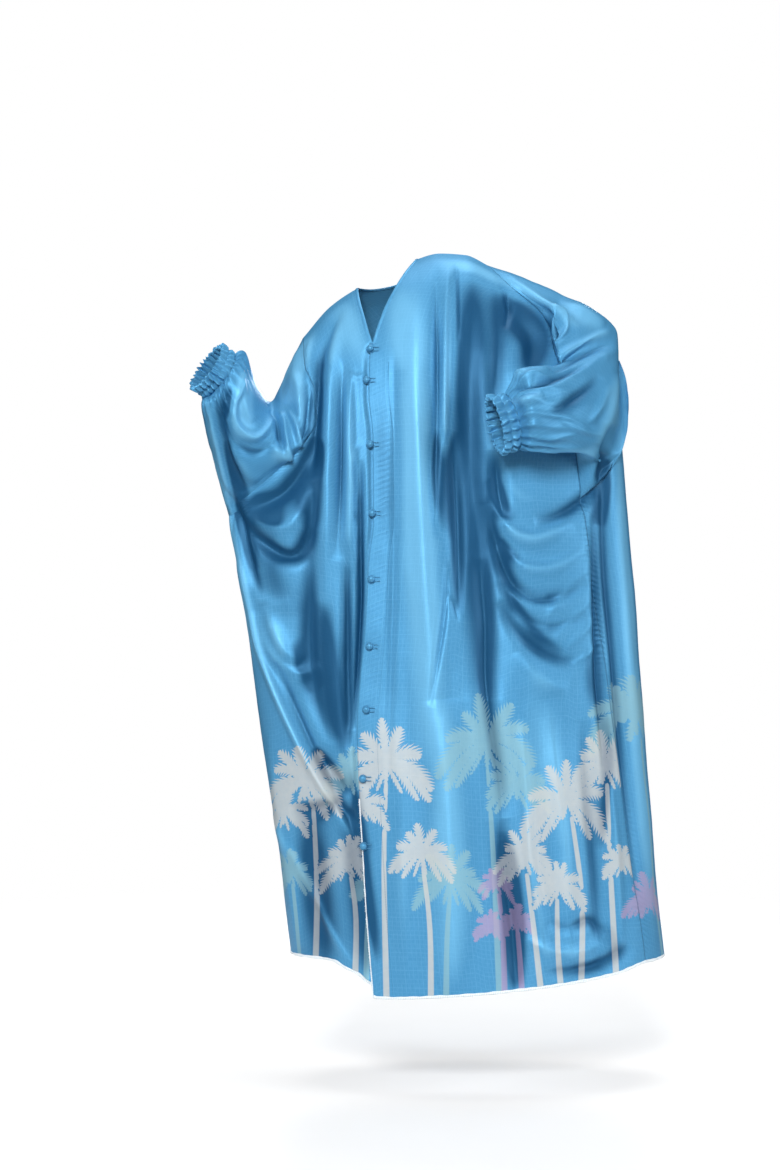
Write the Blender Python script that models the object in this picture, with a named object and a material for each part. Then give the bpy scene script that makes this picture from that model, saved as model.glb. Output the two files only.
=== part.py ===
"""A worn caftan with nobody inside: two lapped fronts, a back, two full sleeves with gathered
cuffs, a narrow neck binding and nine ball buttons, each a thin wall of cloth or a small solid.

Metres, +Z up, the front faces -Y. The origin lies where the shoulders carry the garment.

Left and right are the wearer's, so the left sleeve is at +X. The body is one closed shape,
body_form(c, v). The angle c runs from -1 at the outline on the wearer's right over the front (0)
to 1 at the outline on the left, and on over the back (2) to 3. The share v runs from 0 on the
shoulder line to 1 at the hem. Each panel is a stretch of that shape."""

import math

import bpy
import numpy as np
from mathutils import Vector
from mathutils.bvhtree import BVHTree

# Driving sizes of the cloth and of what is sewn to it
WALL = 0.002
SEAM_GAP = 0.0003
SEAM_SHARE = 0.55
CUT_GAP = 0.0006
LENGTH = 1.42
LAP = 0.036
LAP_STEP = 0.014
LAP_STEP_CLEAR = 0.001
LAP_INSET = 0.0048
V_DEPTH = 0.137
BINDING_WIDTH = 0.006
BINDING_PROUD = 0.0005
BINDING_GAP = 0.0005
BUTTON_RADIUS = 0.007
BUTTON_HEIGHT = 0.011
BUTTON_CLEAR = 0.0005
BUTTON_SIDES = 10
BUTTON_RINGS = 4

# How the body is shaped: squareness of its outline, the drop below which its rows are level and
# the columns of the back even, and how sharply those columns crowd at the seams, above and below
BOXINESS = 0.88
FLAT_BELOW = 0.42
EVEN_BELOW = 0.40
CROWDING = (2, 6)

# How folds are laid: where they start below the shoulder line and the drop over which they grow,
# how soon they end towards the silhouette, how blunt their two ends are, and how many of its own
# widths the trough lies beside a fold
FOLDS_FROM = 0.012
FOLDS_GROW = 0.06
FACING = 1.6
END_BLUNTNESS = 0.6
TROUGH_BESIDE = 1.7

# Outline and depth of the body, by drop below the shoulder line
LEVELS = (
    ("drop", "low_x", "high_x", "front", "back", "low_x_depth", "high_x_depth"),
    (0.000, -0.251, 0.273, 0.000, 0.000, 0.000, 0.000),
    (0.015, -0.255, 0.307, -0.028, 0.027, -0.002, 0.002),
    (0.035, -0.263, 0.367, -0.050, 0.047, -0.004, 0.005),
    (0.060, -0.267, 0.403, -0.070, 0.065, -0.007, 0.008),
    (0.095, -0.266, 0.420, -0.090, 0.082, -0.012, 0.012),
    (0.137, -0.258, 0.426, -0.108, 0.096, -0.018, 0.016),
    (0.190, -0.252, 0.442, -0.124, 0.108, -0.025, 0.020),
    (0.285, -0.252, 0.461, -0.140, 0.117, -0.036, 0.024),
    (0.380, -0.278, 0.468, -0.146, 0.120, -0.043, 0.026),
    (0.466, -0.304, 0.477, -0.150, 0.120, -0.047, 0.027),
    (0.507, -0.312, 0.482, -0.151, 0.121, -0.048, 0.028),
    (0.610, -0.304, 0.492, -0.155, 0.125, -0.046, 0.030),
    (0.765, -0.281, 0.504, -0.164, 0.136, -0.038, 0.034),
    (0.965, -0.255, 0.518, -0.177, 0.152, -0.024, 0.039),
    (1.165, -0.226, 0.533, -0.189, 0.172, -0.008, 0.044),
    (1.420, -0.199, 0.557, -0.200, 0.200, 0.015, 0.050),
)

# Height of the shoulder line across the garment
SHOULDER = (
    ("x", "z"),
    (-0.310, -0.300),
    (-0.240, -0.200),
    (-0.174, -0.126),
    (-0.120, -0.064),
    (-0.064, -0.026),
    (0.050, 0.030),
    (0.100, 0.038),
    (0.150, 0.034),
    (0.196, 0.014),
    (0.260, -0.012),
    (0.350, -0.048),
    (0.420, -0.094),
)

# Real length from the shoulder line to the hem, by angle round the body
HEM = (
    ("angle", "length"),
    (-1.00, 1.352),
    (-0.66, 1.347),
    (-0.47, 1.358),
    (-0.36, 1.416),
    (-0.10, 1.408),
    (0.28, 1.388),
    (0.50, 1.374),
    (0.67, 1.360),
    (1.00, 1.363),
    (1.50, 1.385),
    (2.00, 1.400),
    (2.50, 1.385),
    (3.00, 1.352),
)

# The underlapping front is cut shorter towards its edge, by angle, in its rows below this drop
SHORTER_BELOW = 1.09
UNDER_END = (
    ("angle", "share"),
    (-1.00, 1.000),
    (-0.62, 1.000),
    (-0.46, 0.990),
    (-0.36, 0.976),
    (0.00, 0.976),
)

# Where the sleeves are set in: angle of the seam on the front and on the back, by drop
ARMHOLE_RIGHT = (
    ("drop", "front", "back"),
    (0.000, -0.500, 2.500),
    (0.137, -0.500, 2.500),
    (0.285, -0.500, 2.520),
    (0.360, -0.530, 2.580),
    (0.425, -0.620, 2.680),
    (0.466, -0.740, 2.800),
    (0.507, -1.000, 3.000),
)
ARMHOLE_LEFT = (
    ("drop", "front", "back"),
    (0.000, 0.500, 1.500),
    (0.060, 0.500, 1.490),
    (0.137, 0.500, 1.340),
    (0.235, 0.500, 1.080),
    (0.330, 0.506, 0.900),
    (0.425, 0.526, 0.690),
    (0.466, 0.543, 0.543),
)
UNDERARM_RIGHT = 0.507
UNDERARM_LEFT = 0.466

# The left side seam lies on the front of the body, by drop
SIDE_SEAM_LEFT = (
    ("drop", "angle"),
    (0.466, 0.543),
    (0.600, 0.561),
    (1.000, 0.614),
    (1.420, 0.667),
)

# Edge of the overlapping front: the V of the neck, then the buttoned edge
LAPPED_EDGE = (
    ("drop", "x"),
    (0.000, 0.050),
    (0.022, 0.029),
    (0.048, 0.009),
    (0.080, -0.012),
    (0.137, -0.034),
    (0.165, -0.040),
    (0.240, -0.042),
    (0.335, -0.034),
    (0.500, -0.033),
    (0.580, -0.042),
    (0.715, -0.049),
    (0.805, -0.058),
    (0.910, -0.064),
    (0.990, -0.061),
    (1.147, -0.048),
    (1.304, -0.037),
    (1.420, -0.027),
)

# Edge of the underlapping front down to the point of the V, and the start of its underlap
UNDER_EDGE = (
    ("drop", "x"),
    (0.000, -0.064),
    (0.028, -0.060),
    (0.075, -0.050),
    (0.137, -0.035),
)
UNDERLAP_START = (
    ("drop", "x"),
    (0.137, -0.0415),
    (0.152, -0.0405),
    (0.172, -0.014),
    (0.200, -0.004),
)
UNDERLAP_SINKS = 0.013

# Dip of the back neckline under the shoulder line
BACK_NECK_DIP = 0.030

# Rows of the grid, by drop, and the number of columns of each panel between its set ones
ROWS = (
    0.000, 0.015, 0.035, 0.060, 0.095, 0.137, 0.152, 0.172, 0.200, 0.240, 0.285, 0.330, 0.380,
    0.425, 0.466, 0.487, 0.507, 0.535, 0.563, 0.592, 0.625, 0.660, 0.700, 0.745, 0.795, 0.850,
    0.920, 1.000, 1.090, 1.180, 1.265, 1.345, 1.420,
)
COLUMNS_RIGHT_FRONT = 8
COLUMNS_LEFT_FRONT = 13
COLUMNS_NECK = 5

# Each panel and sleeve is one cloth, but it is cut into nodes, by rows and by columns of its grid,
# so that the collision hulls of every node can lie close to its wall
BANDS = (
    ("name", "from", "to"),
    ("chest", 0.000, 0.330),
    ("waist", 0.330, 0.700),
    ("hip", 0.700, 1.090),
    ("skirt", 1.090, 1.420),
)
PARTS = (
    ("panel", "parts", "columns"),
    ("front_left", ("inner", "outer"), (8,)),
    ("front_right", ("",), ()),
    ("back", ("left", "middle", "right"), (11, 21)),
)

# Folds as they are seen from the front or the back: the path is a list of (x, z), the fold is
# this wide and this high, and a trough of its own depth lies on its right along the path
FRONT_FOLDS = (
    ("name", "path", "width", "height", "trough"),
    ("lap_roll", ((-0.076, -0.30), (-0.078, -0.45), (-0.074, -0.62), (-0.072, -0.80), (-0.084, -0.96)),
     0.013, 0.010, -0.008),
    ("shoulder_pull", ((-0.091, -0.07), (-0.130, -0.14), (-0.138, -0.20), (-0.132, -0.30),
                       (-0.142, -0.46), (-0.155, -0.62)), 0.016, -0.014, 0.0),
    ("side_swag_high", ((-0.305, -0.42), (-0.278, -0.48), (-0.240, -0.53), (-0.200, -0.56),
                        (-0.168, -0.545), (-0.145, -0.50)), 0.024, 0.014, 0.010),
    ("side_swag_low", ((-0.250, -0.69), (-0.228, -0.75), (-0.178, -0.79), (-0.132, -0.77),
                       (-0.110, -0.71)), 0.026, 0.010, 0.008),
    ("side_pull", ((-0.315, -0.44), (-0.280, -0.57), (-0.228, -0.73), (-0.176, -0.86),
                   (-0.136, -1.00), (-0.112, -1.07), (-0.060, -1.14)), 0.018, 0.011, -0.006),
    ("hem_pull", ((-0.216, -1.07), (-0.190, -1.14), (-0.144, -1.24), (-0.076, -1.355)),
     0.016, 0.012, 0.009),
    ("front_band", ((0.055, -0.03), (0.046, -0.20), (0.044, -0.40), (0.050, -0.66)),
     0.026, 0.009, 0.0),
    ("front_groove", ((0.105, -0.04), (0.098, -0.20), (0.104, -0.40), (0.112, -0.62),
                      (0.092, -0.80)), 0.018, -0.013, 0.0),
    ("shoulder_roll", ((0.150, -0.01), (0.148, -0.15), (0.146, -0.32), (0.150, -0.50)),
     0.020, 0.011, 0.009),
    ("under_arm_swag", ((0.200, -0.49), (0.272, -0.525), (0.330, -0.51), (0.372, -0.47)),
     0.026, 0.012, 0.009),
    ("hip_swag", ((0.210, -0.55), (0.290, -0.61), (0.385, -0.565)), 0.028, 0.009, 0.007),
    ("hip_hollow", ((0.192, -0.50), (0.222, -0.60), (0.270, -0.71), (0.335, -0.765)),
     0.026, -0.013, 0.0),
    ("skirt_groove_a", ((0.245, -0.80), (0.262, -1.00), (0.272, -1.20), (0.280, -1.38)),
     0.028, -0.010, 0.0),
    ("skirt_roll_a", ((0.335, -0.72), (0.352, -0.95), (0.365, -1.15), (0.378, -1.36)),
     0.026, 0.011, 0.0),
    ("skirt_roll_b", ((0.130, -0.85), (0.142, -1.05), (0.150, -1.25), (0.155, -1.39)),
     0.030, 0.009, 0.0),
    ("skirt_groove_b", ((0.060, -0.95), (0.062, -1.15), (0.066, -1.30), (0.070, -1.40)),
     0.024, -0.008, 0.0),
)
BACK_FOLDS = (
    ("name", "path", "width", "height", "trough"),
    ("back_roll_a", ((-0.070, -0.12), (-0.090, -0.40), (-0.100, -0.80), (-0.105, -1.33)),
     0.046, 0.014, 0.0),
    ("back_roll_b", ((0.030, -0.10), (0.055, -0.45), (0.070, -0.90), (0.085, -1.36)),
     0.050, 0.013, 0.0),
    ("back_roll_c", ((0.140, -0.08), (0.200, -0.45), (0.240, -0.90), (0.265, -1.36)),
     0.048, 0.015, 0.0),
    ("back_roll_d", ((0.270, -0.24), (0.340, -0.60), (0.390, -1.00), (0.420, -1.34)),
     0.044, 0.012, 0.0),
    ("back_swag", ((-0.250, -0.50), (-0.150, -0.60), (0.060, -0.64), (0.240, -0.58), (0.360, -0.48)),
     0.050, 0.009, 0.0),
)

# The sleeves: four points of each ring from the armhole to the cuff, on top, inside the bend
# or in front, underneath, and outside the bend or behind
RINGS_LEFT = (
    ("top", "front", "under", "back"),
    ((0.275, 0.000, -0.008), (0.324, -0.115, -0.152), (0.396, -0.090, -0.430), (0.432, 0.070, -0.133)),
    ((0.350, 0.008, -0.035), (0.331, -0.125, -0.182), (0.410, -0.092, -0.406), (0.447, 0.060, -0.160)),
    ((0.427, 0.005, -0.080), (0.334, -0.135, -0.203), (0.416, -0.100, -0.385), (0.453, 0.025, -0.207)),
    ((0.421, -0.050, -0.141), (0.322, -0.148, -0.233), (0.396, -0.130, -0.375), (0.441, -0.095, -0.267)),
    ((0.370, -0.120, -0.178), (0.300, -0.156, -0.258), (0.354, -0.170, -0.362), (0.387, -0.190, -0.288)),
    ((0.312, -0.170, -0.200), (0.271, -0.160, -0.272), (0.306, -0.200, -0.364), (0.322, -0.250, -0.293)),
    ((0.256, -0.200, -0.209), (0.240, -0.165, -0.278), (0.271, -0.215, -0.363), (0.267, -0.275, -0.291)),
)
RINGS_RIGHT = (
    ("top", "front", "under", "back"),
    ((-0.196, -0.005, -0.172), (-0.179, -0.125, -0.342), (-0.328, -0.050, -0.452), (-0.214, 0.085, -0.304)),
    ((-0.217, -0.020, -0.224), (-0.217, -0.135, -0.348), (-0.338, -0.070, -0.413), (-0.247, 0.060, -0.306)),
    ((-0.236, -0.040, -0.256), (-0.255, -0.150, -0.343), (-0.347, -0.090, -0.371), (-0.277, 0.020, -0.305)),
    ((-0.248, -0.070, -0.236), (-0.283, -0.170, -0.321), (-0.356, -0.110, -0.333), (-0.299, -0.020, -0.281)),
    ((-0.261, -0.100, -0.198), (-0.303, -0.185, -0.280), (-0.363, -0.130, -0.297), (-0.312, -0.060, -0.247)),
    ((-0.275, -0.125, -0.166), (-0.316, -0.192, -0.243), (-0.364, -0.148, -0.270), (-0.322, -0.090, -0.212)),
)
SLEEVE_RINGS = 9
ARMHOLE_BLEND = 0.55

# A sleeve's nodes: each part spans a share of the turn round the arm, and is cut across at rings
# clear of the crook of the arm. The cuts along the arm lie some columns behind the top and before
# the underarm, clear of the seams that meet there
SLEEVE_PARTS = (
    ("name", "from_turn", "to_turn", "bands"),
    ("front", 0.0, 0.5, (("upper", 0, 6), ("fore", 6, 8))),
    ("under", 0.5, 0.75, (("upper", 0, 4), ("elbow", 4, 6), ("fore", 6, 8))),
    ("back", 0.75, 1.0, (("upper", 0, 4), ("elbow", 4, 6), ("fore", 6, 8))),
)
SLEEVE_CUT_BACK = 4

# Shares of a sleeve's length: the gathers start, flatten and flatten by, and folds fade at each end
GATHER_HEIGHT = 0.004
GATHER_START = 0.62
GATHER_CALM = 0.9
GATHER_LOSS = 0.75
FOLDS_IN = 0.18
FOLDS_OUT = 0.12

SLEEVE_FOLDS_LEFT = (
    ("name", "path", "width", "height", "trough"),
    ("over_arm", ((0.235, -0.03), (0.310, -0.08), (0.345, -0.115)), 0.014, 0.009, 0.008),
    ("fore_arm", ((0.216, -0.255), (0.260, -0.235), (0.320, -0.210), (0.400, -0.155)),
     0.014, 0.008, 0.008),
    ("under_fore_arm", ((0.262, -0.335), (0.310, -0.335), (0.370, -0.325)), 0.014, 0.006, 0.0),
)
SLEEVE_FOLDS_RIGHT = (
    ("name", "path", "width", "height", "trough"),
    ("elbow_bend", ((-0.297, -0.19), (-0.292, -0.24), (-0.304, -0.29), (-0.290, -0.318),
                    (-0.263, -0.33), (-0.232, -0.31)), 0.013, 0.010, 0.010),
    ("drip", ((-0.218, -0.30), (-0.207, -0.36), (-0.193, -0.39), (-0.182, -0.36), (-0.186, -0.32)),
     0.011, 0.009, 0.0),
    ("outer_roll", ((-0.344, -0.25), (-0.336, -0.31), (-0.324, -0.37), (-0.310, -0.42)),
     0.014, 0.009, 0.009),
)

# The cuffs: middle of the seam, the way the arm points, the way their long half points, half
# length and half depth of the oval, width of the band and number of gathers
CUFFS = (
    ("middle", "along", "upward", "half_length", "half_depth", "band", "gathers"),
    ((0.238, -0.206, -0.310), (-0.90, -0.30, 0.02), (-0.43, 0.00, 0.90), 0.055, 0.036, 0.036, 20),
    ((-0.329, -0.150, -0.217), (-0.72, -0.42, 0.50), (0.52, -0.05, 0.85), 0.049, 0.036, 0.034, 24),
)
CUFF_ROWS = (
    ("share", "swell", "wave"),
    (0.0, 1.00, 0.0012),
    (0.4, 0.97, 0.0024),
    (1.0, 1.05, 0.0028),
)
CUFF_WALL = 0.0024

# Buttons: drop, and distance of the centre from the lapped edge, onto the overlapping front
BUTTONS = (
    ("drop", "inside_edge"),
    (0.152, 0.000),
    (0.215, -0.003),
    (0.348, -0.004),
    (0.484, -0.001),
    (0.612, 0.008),
    (0.742, 0.012),
    (0.864, 0.017),
    (0.997, 0.009),
    (1.127, 0.003),
)

# How a button is seated: rays are cast on the cloth under it from above, at these shares of its
# radius and this many directions
SEAT_ABOVE = 0.03
SEAT_SHARES = (0.0, 0.25, 0.5, 0.7, 0.85, 0.95, 0.99)
SEAT_DIRECTIONS = 24

SATIN_BLUE = (0.075, 0.285, 0.520, 1.0)
SATIN_ROUGHNESS = 0.42
TRIM_ROUGHNESS = 0.48
CREASE_DEGREES = 50


def glide(table, name, x):
    """A monotone cubic through the named column of a table against its first column, level past its ends."""
    header, *rows = table
    xs = np.array([row[0] for row in rows], float)
    ys = np.array([row[header.index(name)] for row in rows], float)
    x = np.clip(x, xs[0], xs[-1])
    step = np.diff(xs)
    slope = np.diff(ys) / step
    together = slope[:-1] * slope[1:] > 0
    total = np.where(together, slope[:-1] + slope[1:], 1.0)
    inner = np.where(together, 2 * slope[:-1] * slope[1:] / total, 0.0)
    tangent = np.concatenate([slope[:1], inner, slope[-1:]])
    i = np.clip(np.searchsorted(xs, x, side="right") - 1, 0, len(step) - 1)
    u = (x - xs[i]) / step[i]
    rise = ys[i + 1] - ys[i]
    return (
        ys[i]
        + rise * u * u * (3 - 2 * u)
        + step[i] * u * (1 - u) * (tangent[i] * (1 - u) - tangent[i + 1] * u)
    )


def ease(x):
    """0 below 0, 1 above 1, and smooth between."""
    x = np.clip(x, 0.0, 1.0)
    return x * x * (3 - 2 * x)


def unit(vectors):
    return vectors / np.maximum(np.linalg.norm(vectors, axis=-1, keepdims=True), 1e-12)


def level(name, drop):
    return glide(LEVELS, name, drop)


def angle_at(x, drop):
    """The angle on the front of the body where it is x to the right."""
    low, high = level("low_x", drop), level("high_x", drop)
    share = (2 * x - low - high) / (high - low)
    return np.arcsin(np.clip(share, -1.0, 1.0)) * 2 / math.pi


def body_form(c, v):
    """A point of the body without its folds."""
    c, v = np.broadcast_arrays(np.asarray(c, float), np.asarray(v, float))
    drop = v * LENGTH
    low, high = level("low_x", drop), level("high_x", drop)
    across = np.sin(c * math.pi / 2)
    toward = np.cos(c * math.pi / 2)
    x = (low + high) / 2 + (high - low) / 2 * across
    side = (level("low_x_depth", drop) * (1 - across) + level("high_x_depth", drop) * (1 + across)) / 2
    middle = np.where(toward > 0, level("front", drop), level("back", drop))
    y = side + (middle - side) * np.abs(toward) ** BOXINESS
    z = -v * glide(HEM, "length", c) + (1 - ease(drop / FLAT_BELOW)) * glide(SHOULDER, "z", x)
    return np.stack([x, y, z], axis=-1)


def body_normal(c, v):
    """The outward direction of the body without its folds."""
    small = 0.002
    c, v = np.broadcast_arrays(np.asarray(c, float), np.asarray(v, float))
    low, high = np.maximum(v - small, 0.0), np.minimum(v + small, 1.0)
    down = body_form(c, high) - body_form(c, low)
    around = body_form(c + small, v) - body_form(c - small, v)
    return unit(np.cross(down, around))


def path_points(path, steps=8):
    """A smooth line through the points of a path, as Catmull and Rom draw it."""
    path = np.asarray(path, float)
    path = np.vstack([2 * path[0] - path[1], path, 2 * path[-1] - path[-2]])
    found = []
    for a, b, c, d in zip(path, path[1:], path[2:], path[3:]):
        for u in np.arange(steps) / steps:
            found.append(
                0.5 * (2 * b + (c - a) * u + (2 * a - 5 * b + 4 * c - d) * u * u
                       + (3 * b - a - 3 * c + d) * u ** 3)
            )
    found.append(path[-2])
    return np.array(found)


def relief(folds, x, z):
    """How far a table of folds lifts the cloth at each (x, z)."""
    spots = np.stack([x, z], axis=-1)
    lift = np.zeros(spots.shape[:-1])
    for _, path, width, height, trough in folds[1:]:
        line = path_points(path)
        step = np.diff(line, axis=0)
        span = np.linalg.norm(step, axis=1)
        start = np.concatenate([[0.0], np.cumsum(span)[:-1]])
        away = spots[..., None, :] - line[:-1]
        share = np.clip((away * step).sum(-1) / span ** 2, 0.0, 1.0)
        off = away - share[..., None] * step
        distance = np.linalg.norm(off, axis=-1)
        nearest = distance.argmin(-1)[..., None]
        along = np.take_along_axis(start + share * span, nearest, -1)[..., 0] / span.sum()
        turned = step[:, 1] * off[..., 0] - step[:, 0] * off[..., 1]
        side = np.sign(np.take_along_axis(turned, nearest, -1)[..., 0])
        distance = np.take_along_axis(distance, nearest, -1)[..., 0]
        fade = np.sin(math.pi * np.clip(along, 0.0, 1.0)) ** END_BLUNTNESS
        beside = side * distance * (1 if trough >= 0 else -1) - TROUGH_BESIDE * width
        lift += fade * height * np.exp(-((distance / width) ** 2))
        lift -= fade * abs(trough) * np.exp(-((beside / width) ** 2))
    return lift


def cloth(c, v, inset=0.0):
    """A point of the body's outer face with its folds, sunk by inset."""
    point, outward = body_form(c, v), body_normal(c, v)
    front = ease(-FACING * outward[..., 1]) * relief(FRONT_FOLDS, point[..., 0], point[..., 2])
    behind = ease(FACING * outward[..., 1]) * relief(BACK_FOLDS, point[..., 0], point[..., 2])
    lift = (front + behind) * ease((v * LENGTH - FOLDS_FROM) / FOLDS_GROW) - inset
    return point + outward * lift[..., None]


def drops(low, high):
    """The rows of the grid from one drop to another, both of them rows themselves."""
    return np.array([row for row in ROWS if low <= row <= high])


def spread(first, last, count):
    """Angles between two edges, a column for each row, with both edges."""
    share = np.linspace(0.0, 1.0, count + 1)
    return first[:, None] * (1 - share) + last[:, None] * share


def seam_angles(armhole, side_angle, underarm, face):
    """The angle of a panel's side edge on each row: the armhole, then the side seam."""
    rows = np.array(ROWS)
    return np.where(rows < underarm, glide(armhole, face, rows), side_angle(rows))


def left_front_grid():
    """Angles and shares of the overlapping front, which shows on the right."""
    rows = np.array(ROWS)
    edge = glide(LAPPED_EDGE, "x", rows) + neck_setback(rows)
    set_columns = [angle_at(edge + LAP * part, rows) for part in (0.0, 0.5, 1.0)]
    outer = seam_angles(ARMHOLE_LEFT, lambda d: glide(SIDE_SEAM_LEFT, "angle", d), UNDERARM_LEFT, "front")
    rest = spread(set_columns[2], outer, COLUMNS_LEFT_FRONT)
    c = np.column_stack([set_columns[0], set_columns[1], rest])
    return c, np.repeat(rows[:, None] / LENGTH, c.shape[1], axis=1)


def neck_setback(rows):
    """How far a front's own edge lies back from the neck edge, to leave room for the binding."""
    return np.where(rows <= V_DEPTH, BINDING_WIDTH + BINDING_GAP, 0.0)


def underlap_edge(rows):
    """The free edge of the underlapping front, behind the other one below the point of the V."""
    neck = glide(UNDER_EDGE, "x", rows) - neck_setback(rows)
    start = glide(UNDERLAP_START, "x", rows)
    below = glide(LAPPED_EDGE, "x", rows) + LAP
    return np.where(rows <= V_DEPTH, neck, np.where(rows < UNDERLAP_START[-1][0], start, below))


def underlap_inset(c, v):
    """How deep the underlapping front sinks behind the other one."""
    drop = v * LENGTH
    edge = glide(LAPPED_EDGE, "x", drop)
    x = body_form(c, v)[..., 0]
    sunk = ease((drop - V_DEPTH) / UNDERLAP_SINKS)
    return LAP_INSET * sunk * ease((x - edge + LAP_STEP) / (LAP_STEP - LAP_STEP_CLEAR))


def right_front_grid():
    """Angles and shares of the underlapping front, which shows on the left."""
    rows = np.array(ROWS)
    edge = underlap_edge(rows)
    set_columns = [angle_at(edge - part, rows) for part in (LAP + LAP_STEP, LAP, LAP / 2, 0.0)]
    outer = seam_angles(ARMHOLE_RIGHT, lambda d: np.full_like(d, -1.0), UNDERARM_RIGHT, "front")
    c = np.column_stack([spread(outer, set_columns[0], COLUMNS_RIGHT_FRONT), *set_columns[1:]])
    below = ease((rows[:, None] - SHORTER_BELOW) / (LENGTH - SHORTER_BELOW))
    shorter = (1 - glide(UNDER_END, "share", c)) * below
    return c, rows[:, None] / LENGTH * (1 - shorter)


def back_grid(left_angles, right_angles):
    """Angles and shares of the back, whose columns start where those of the fronts end."""
    rows = np.array(ROWS)
    from_right = 2 - left_angles[0][::-1]
    from_left = 2 - right_angles[0][::-1]
    neck = np.linspace(from_right[-1], from_left[0], COLUMNS_NECK + 1)[1:-1]
    top = np.concatenate([from_right, neck, from_left])
    first = seam_angles(ARMHOLE_LEFT, lambda d: glide(SIDE_SEAM_LEFT, "angle", d), UNDERARM_LEFT, "back")
    last = seam_angles(ARMHOLE_RIGHT, lambda d: np.full_like(d, 3.0), UNDERARM_RIGHT, "back")
    share = (top - top[0]) / (top[-1] - top[0])
    stretched = first[:, None] * (1 - share) + last[:, None] * share
    even = np.linspace(0.0, 1.0, len(top))
    power = CROWDING[0] + (CROWDING[1] - CROWDING[0]) * ease(rows[:, None] / UNDERARM_LEFT)
    squeezed = (
        first[-1] + (last[-1] - first[-1]) * even
        + (first - first[-1])[:, None] * (1 - even) ** power
        + (last - last[-1])[:, None] * even ** power
    )
    loosened = ease(rows[:, None] / EVEN_BELOW)
    c = stretched * (1 - loosened) + squeezed * loosened
    neck_x = body_form(top, 0.0)[:, 0]
    dip = neck_dip(neck_x, BINDING_WIDTH + BINDING_GAP) / LENGTH
    v = dip + (1 - dip) * rows[:, None] / LENGTH
    return c, v


def neck_dip(x, setback):
    """Drop of the back neckline, or of the line that lies this far under it."""
    low, high = glide(UNDER_EDGE, "x", 0.0) - setback, glide(LAPPED_EDGE, "x", 0.0) + setback
    middle, half = (low + high) / 2, (high - low) / 2
    return (BACK_NECK_DIP + setback) * np.maximum(0.0, 1 - ((x - middle) / half) ** 2)


def grid_faces(rows, columns, closed, flip):
    """Triangles of a grid, as indices, wound so that they face out."""
    i, j = np.meshgrid(np.arange(rows - 1), np.arange(columns - (not closed)), indexing="ij")
    i, j = i.ravel(), j.ravel()
    k = (j + 1) % columns
    a, b, c, d = i * columns + j, (i + 1) * columns + j, (i + 1) * columns + k, i * columns + k
    faces = np.concatenate([np.stack([a, b, c], 1), np.stack([a, c, d], 1)])
    return faces[:, ::-1] if flip else faces


def corner_normals(points, faces):
    """Area-weighted directions at the points of a mesh."""
    across = np.cross(points[faces[:, 1]] - points[faces[:, 0]], points[faces[:, 2]] - points[faces[:, 0]])
    total = np.zeros_like(points)
    for corner in range(3):
        np.add.at(total, faces[:, corner], across)
    return total


def shared_normals(grids):
    """Directions at every point of every grid, shared where the grids meet at a seam."""
    points = np.concatenate([grid["points"].reshape(-1, 3) for grid in grids])
    faces, start = [], 0
    for grid in grids:
        rows, columns, _ = grid["points"].shape
        faces.append(start + grid_faces(rows, columns, grid["closed"], grid["flip"]))
        start += rows * columns
    total = corner_normals(points, np.concatenate(faces))
    _, same = np.unique(np.round(points, 6), axis=0, return_inverse=True)
    same = same.reshape(-1)
    joined = np.zeros((same.max() + 1, 3))
    np.add.at(joined, same, total)
    directions, start = unit(joined[same]), 0
    for grid in grids:
        count = grid["points"].shape[0] * grid["points"].shape[1]
        grid["normals"] = directions[start:start + count].reshape(grid["points"].shape)
        start += count


def step_back(points, seams, gap=SEAM_GAP):
    """The grid with its seamed edges moved into the panel by half of the gap."""
    moved = points.copy()
    half = gap * SEAM_SHARE
    sides = {
        "top": (points[0], points[1], moved[0]),
        "bottom": (points[-1], points[-2], moved[-1]),
        "first": (points[:, 0], points[:, 1], moved[:, 0]),
        "last": (points[:, -1], points[:, -2], moved[:, -1]),
    }
    for name, rows in seams.items():
        edge, inner, target = sides[name]
        along = unit(np.gradient(edge, axis=0))
        inward = inner - edge
        inward -= (inward * along).sum(-1, keepdims=True) * along
        target[rows] += half * unit(inward)[rows]
    return moved


def sew_panels(panels, underarm_left, underarm_right):
    """Gives the back the very points of the fronts along the side and shoulder seams."""
    left, right, back = panels["front_left"], panels["front_right"], panels["back"]
    back[underarm_left:, 0] = left[underarm_left:, -1]
    back[underarm_right:, -1] = right[underarm_right:, 0]
    back[0, :left.shape[1]] = left[0, ::-1]
    back[0, -right.shape[1]:] = right[0, ::-1]


def add_mesh(name, points, faces, material):
    mesh = bpy.data.meshes.new(name)
    mesh.from_pydata([tuple(p) for p in points], [], [tuple(int(i) for i in f) for f in faces])
    mesh.update()
    mesh.shade_smooth()
    mesh.set_sharp_from_angle(angle=math.radians(CREASE_DEGREES))
    made = bpy.data.objects.new(name, mesh)
    bpy.context.scene.collection.objects.link(made)
    mesh.materials.append(material)
    return made


def satin(name, colour, roughness):
    material = bpy.data.materials.new(name)
    material.use_nodes = True
    shader = material.node_tree.nodes["Principled BSDF"]
    shader.inputs["Base Color"].default_value = colour
    shader.inputs["Roughness"].default_value = roughness
    shader.inputs["Metallic"].default_value = 0.0
    return material


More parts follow.
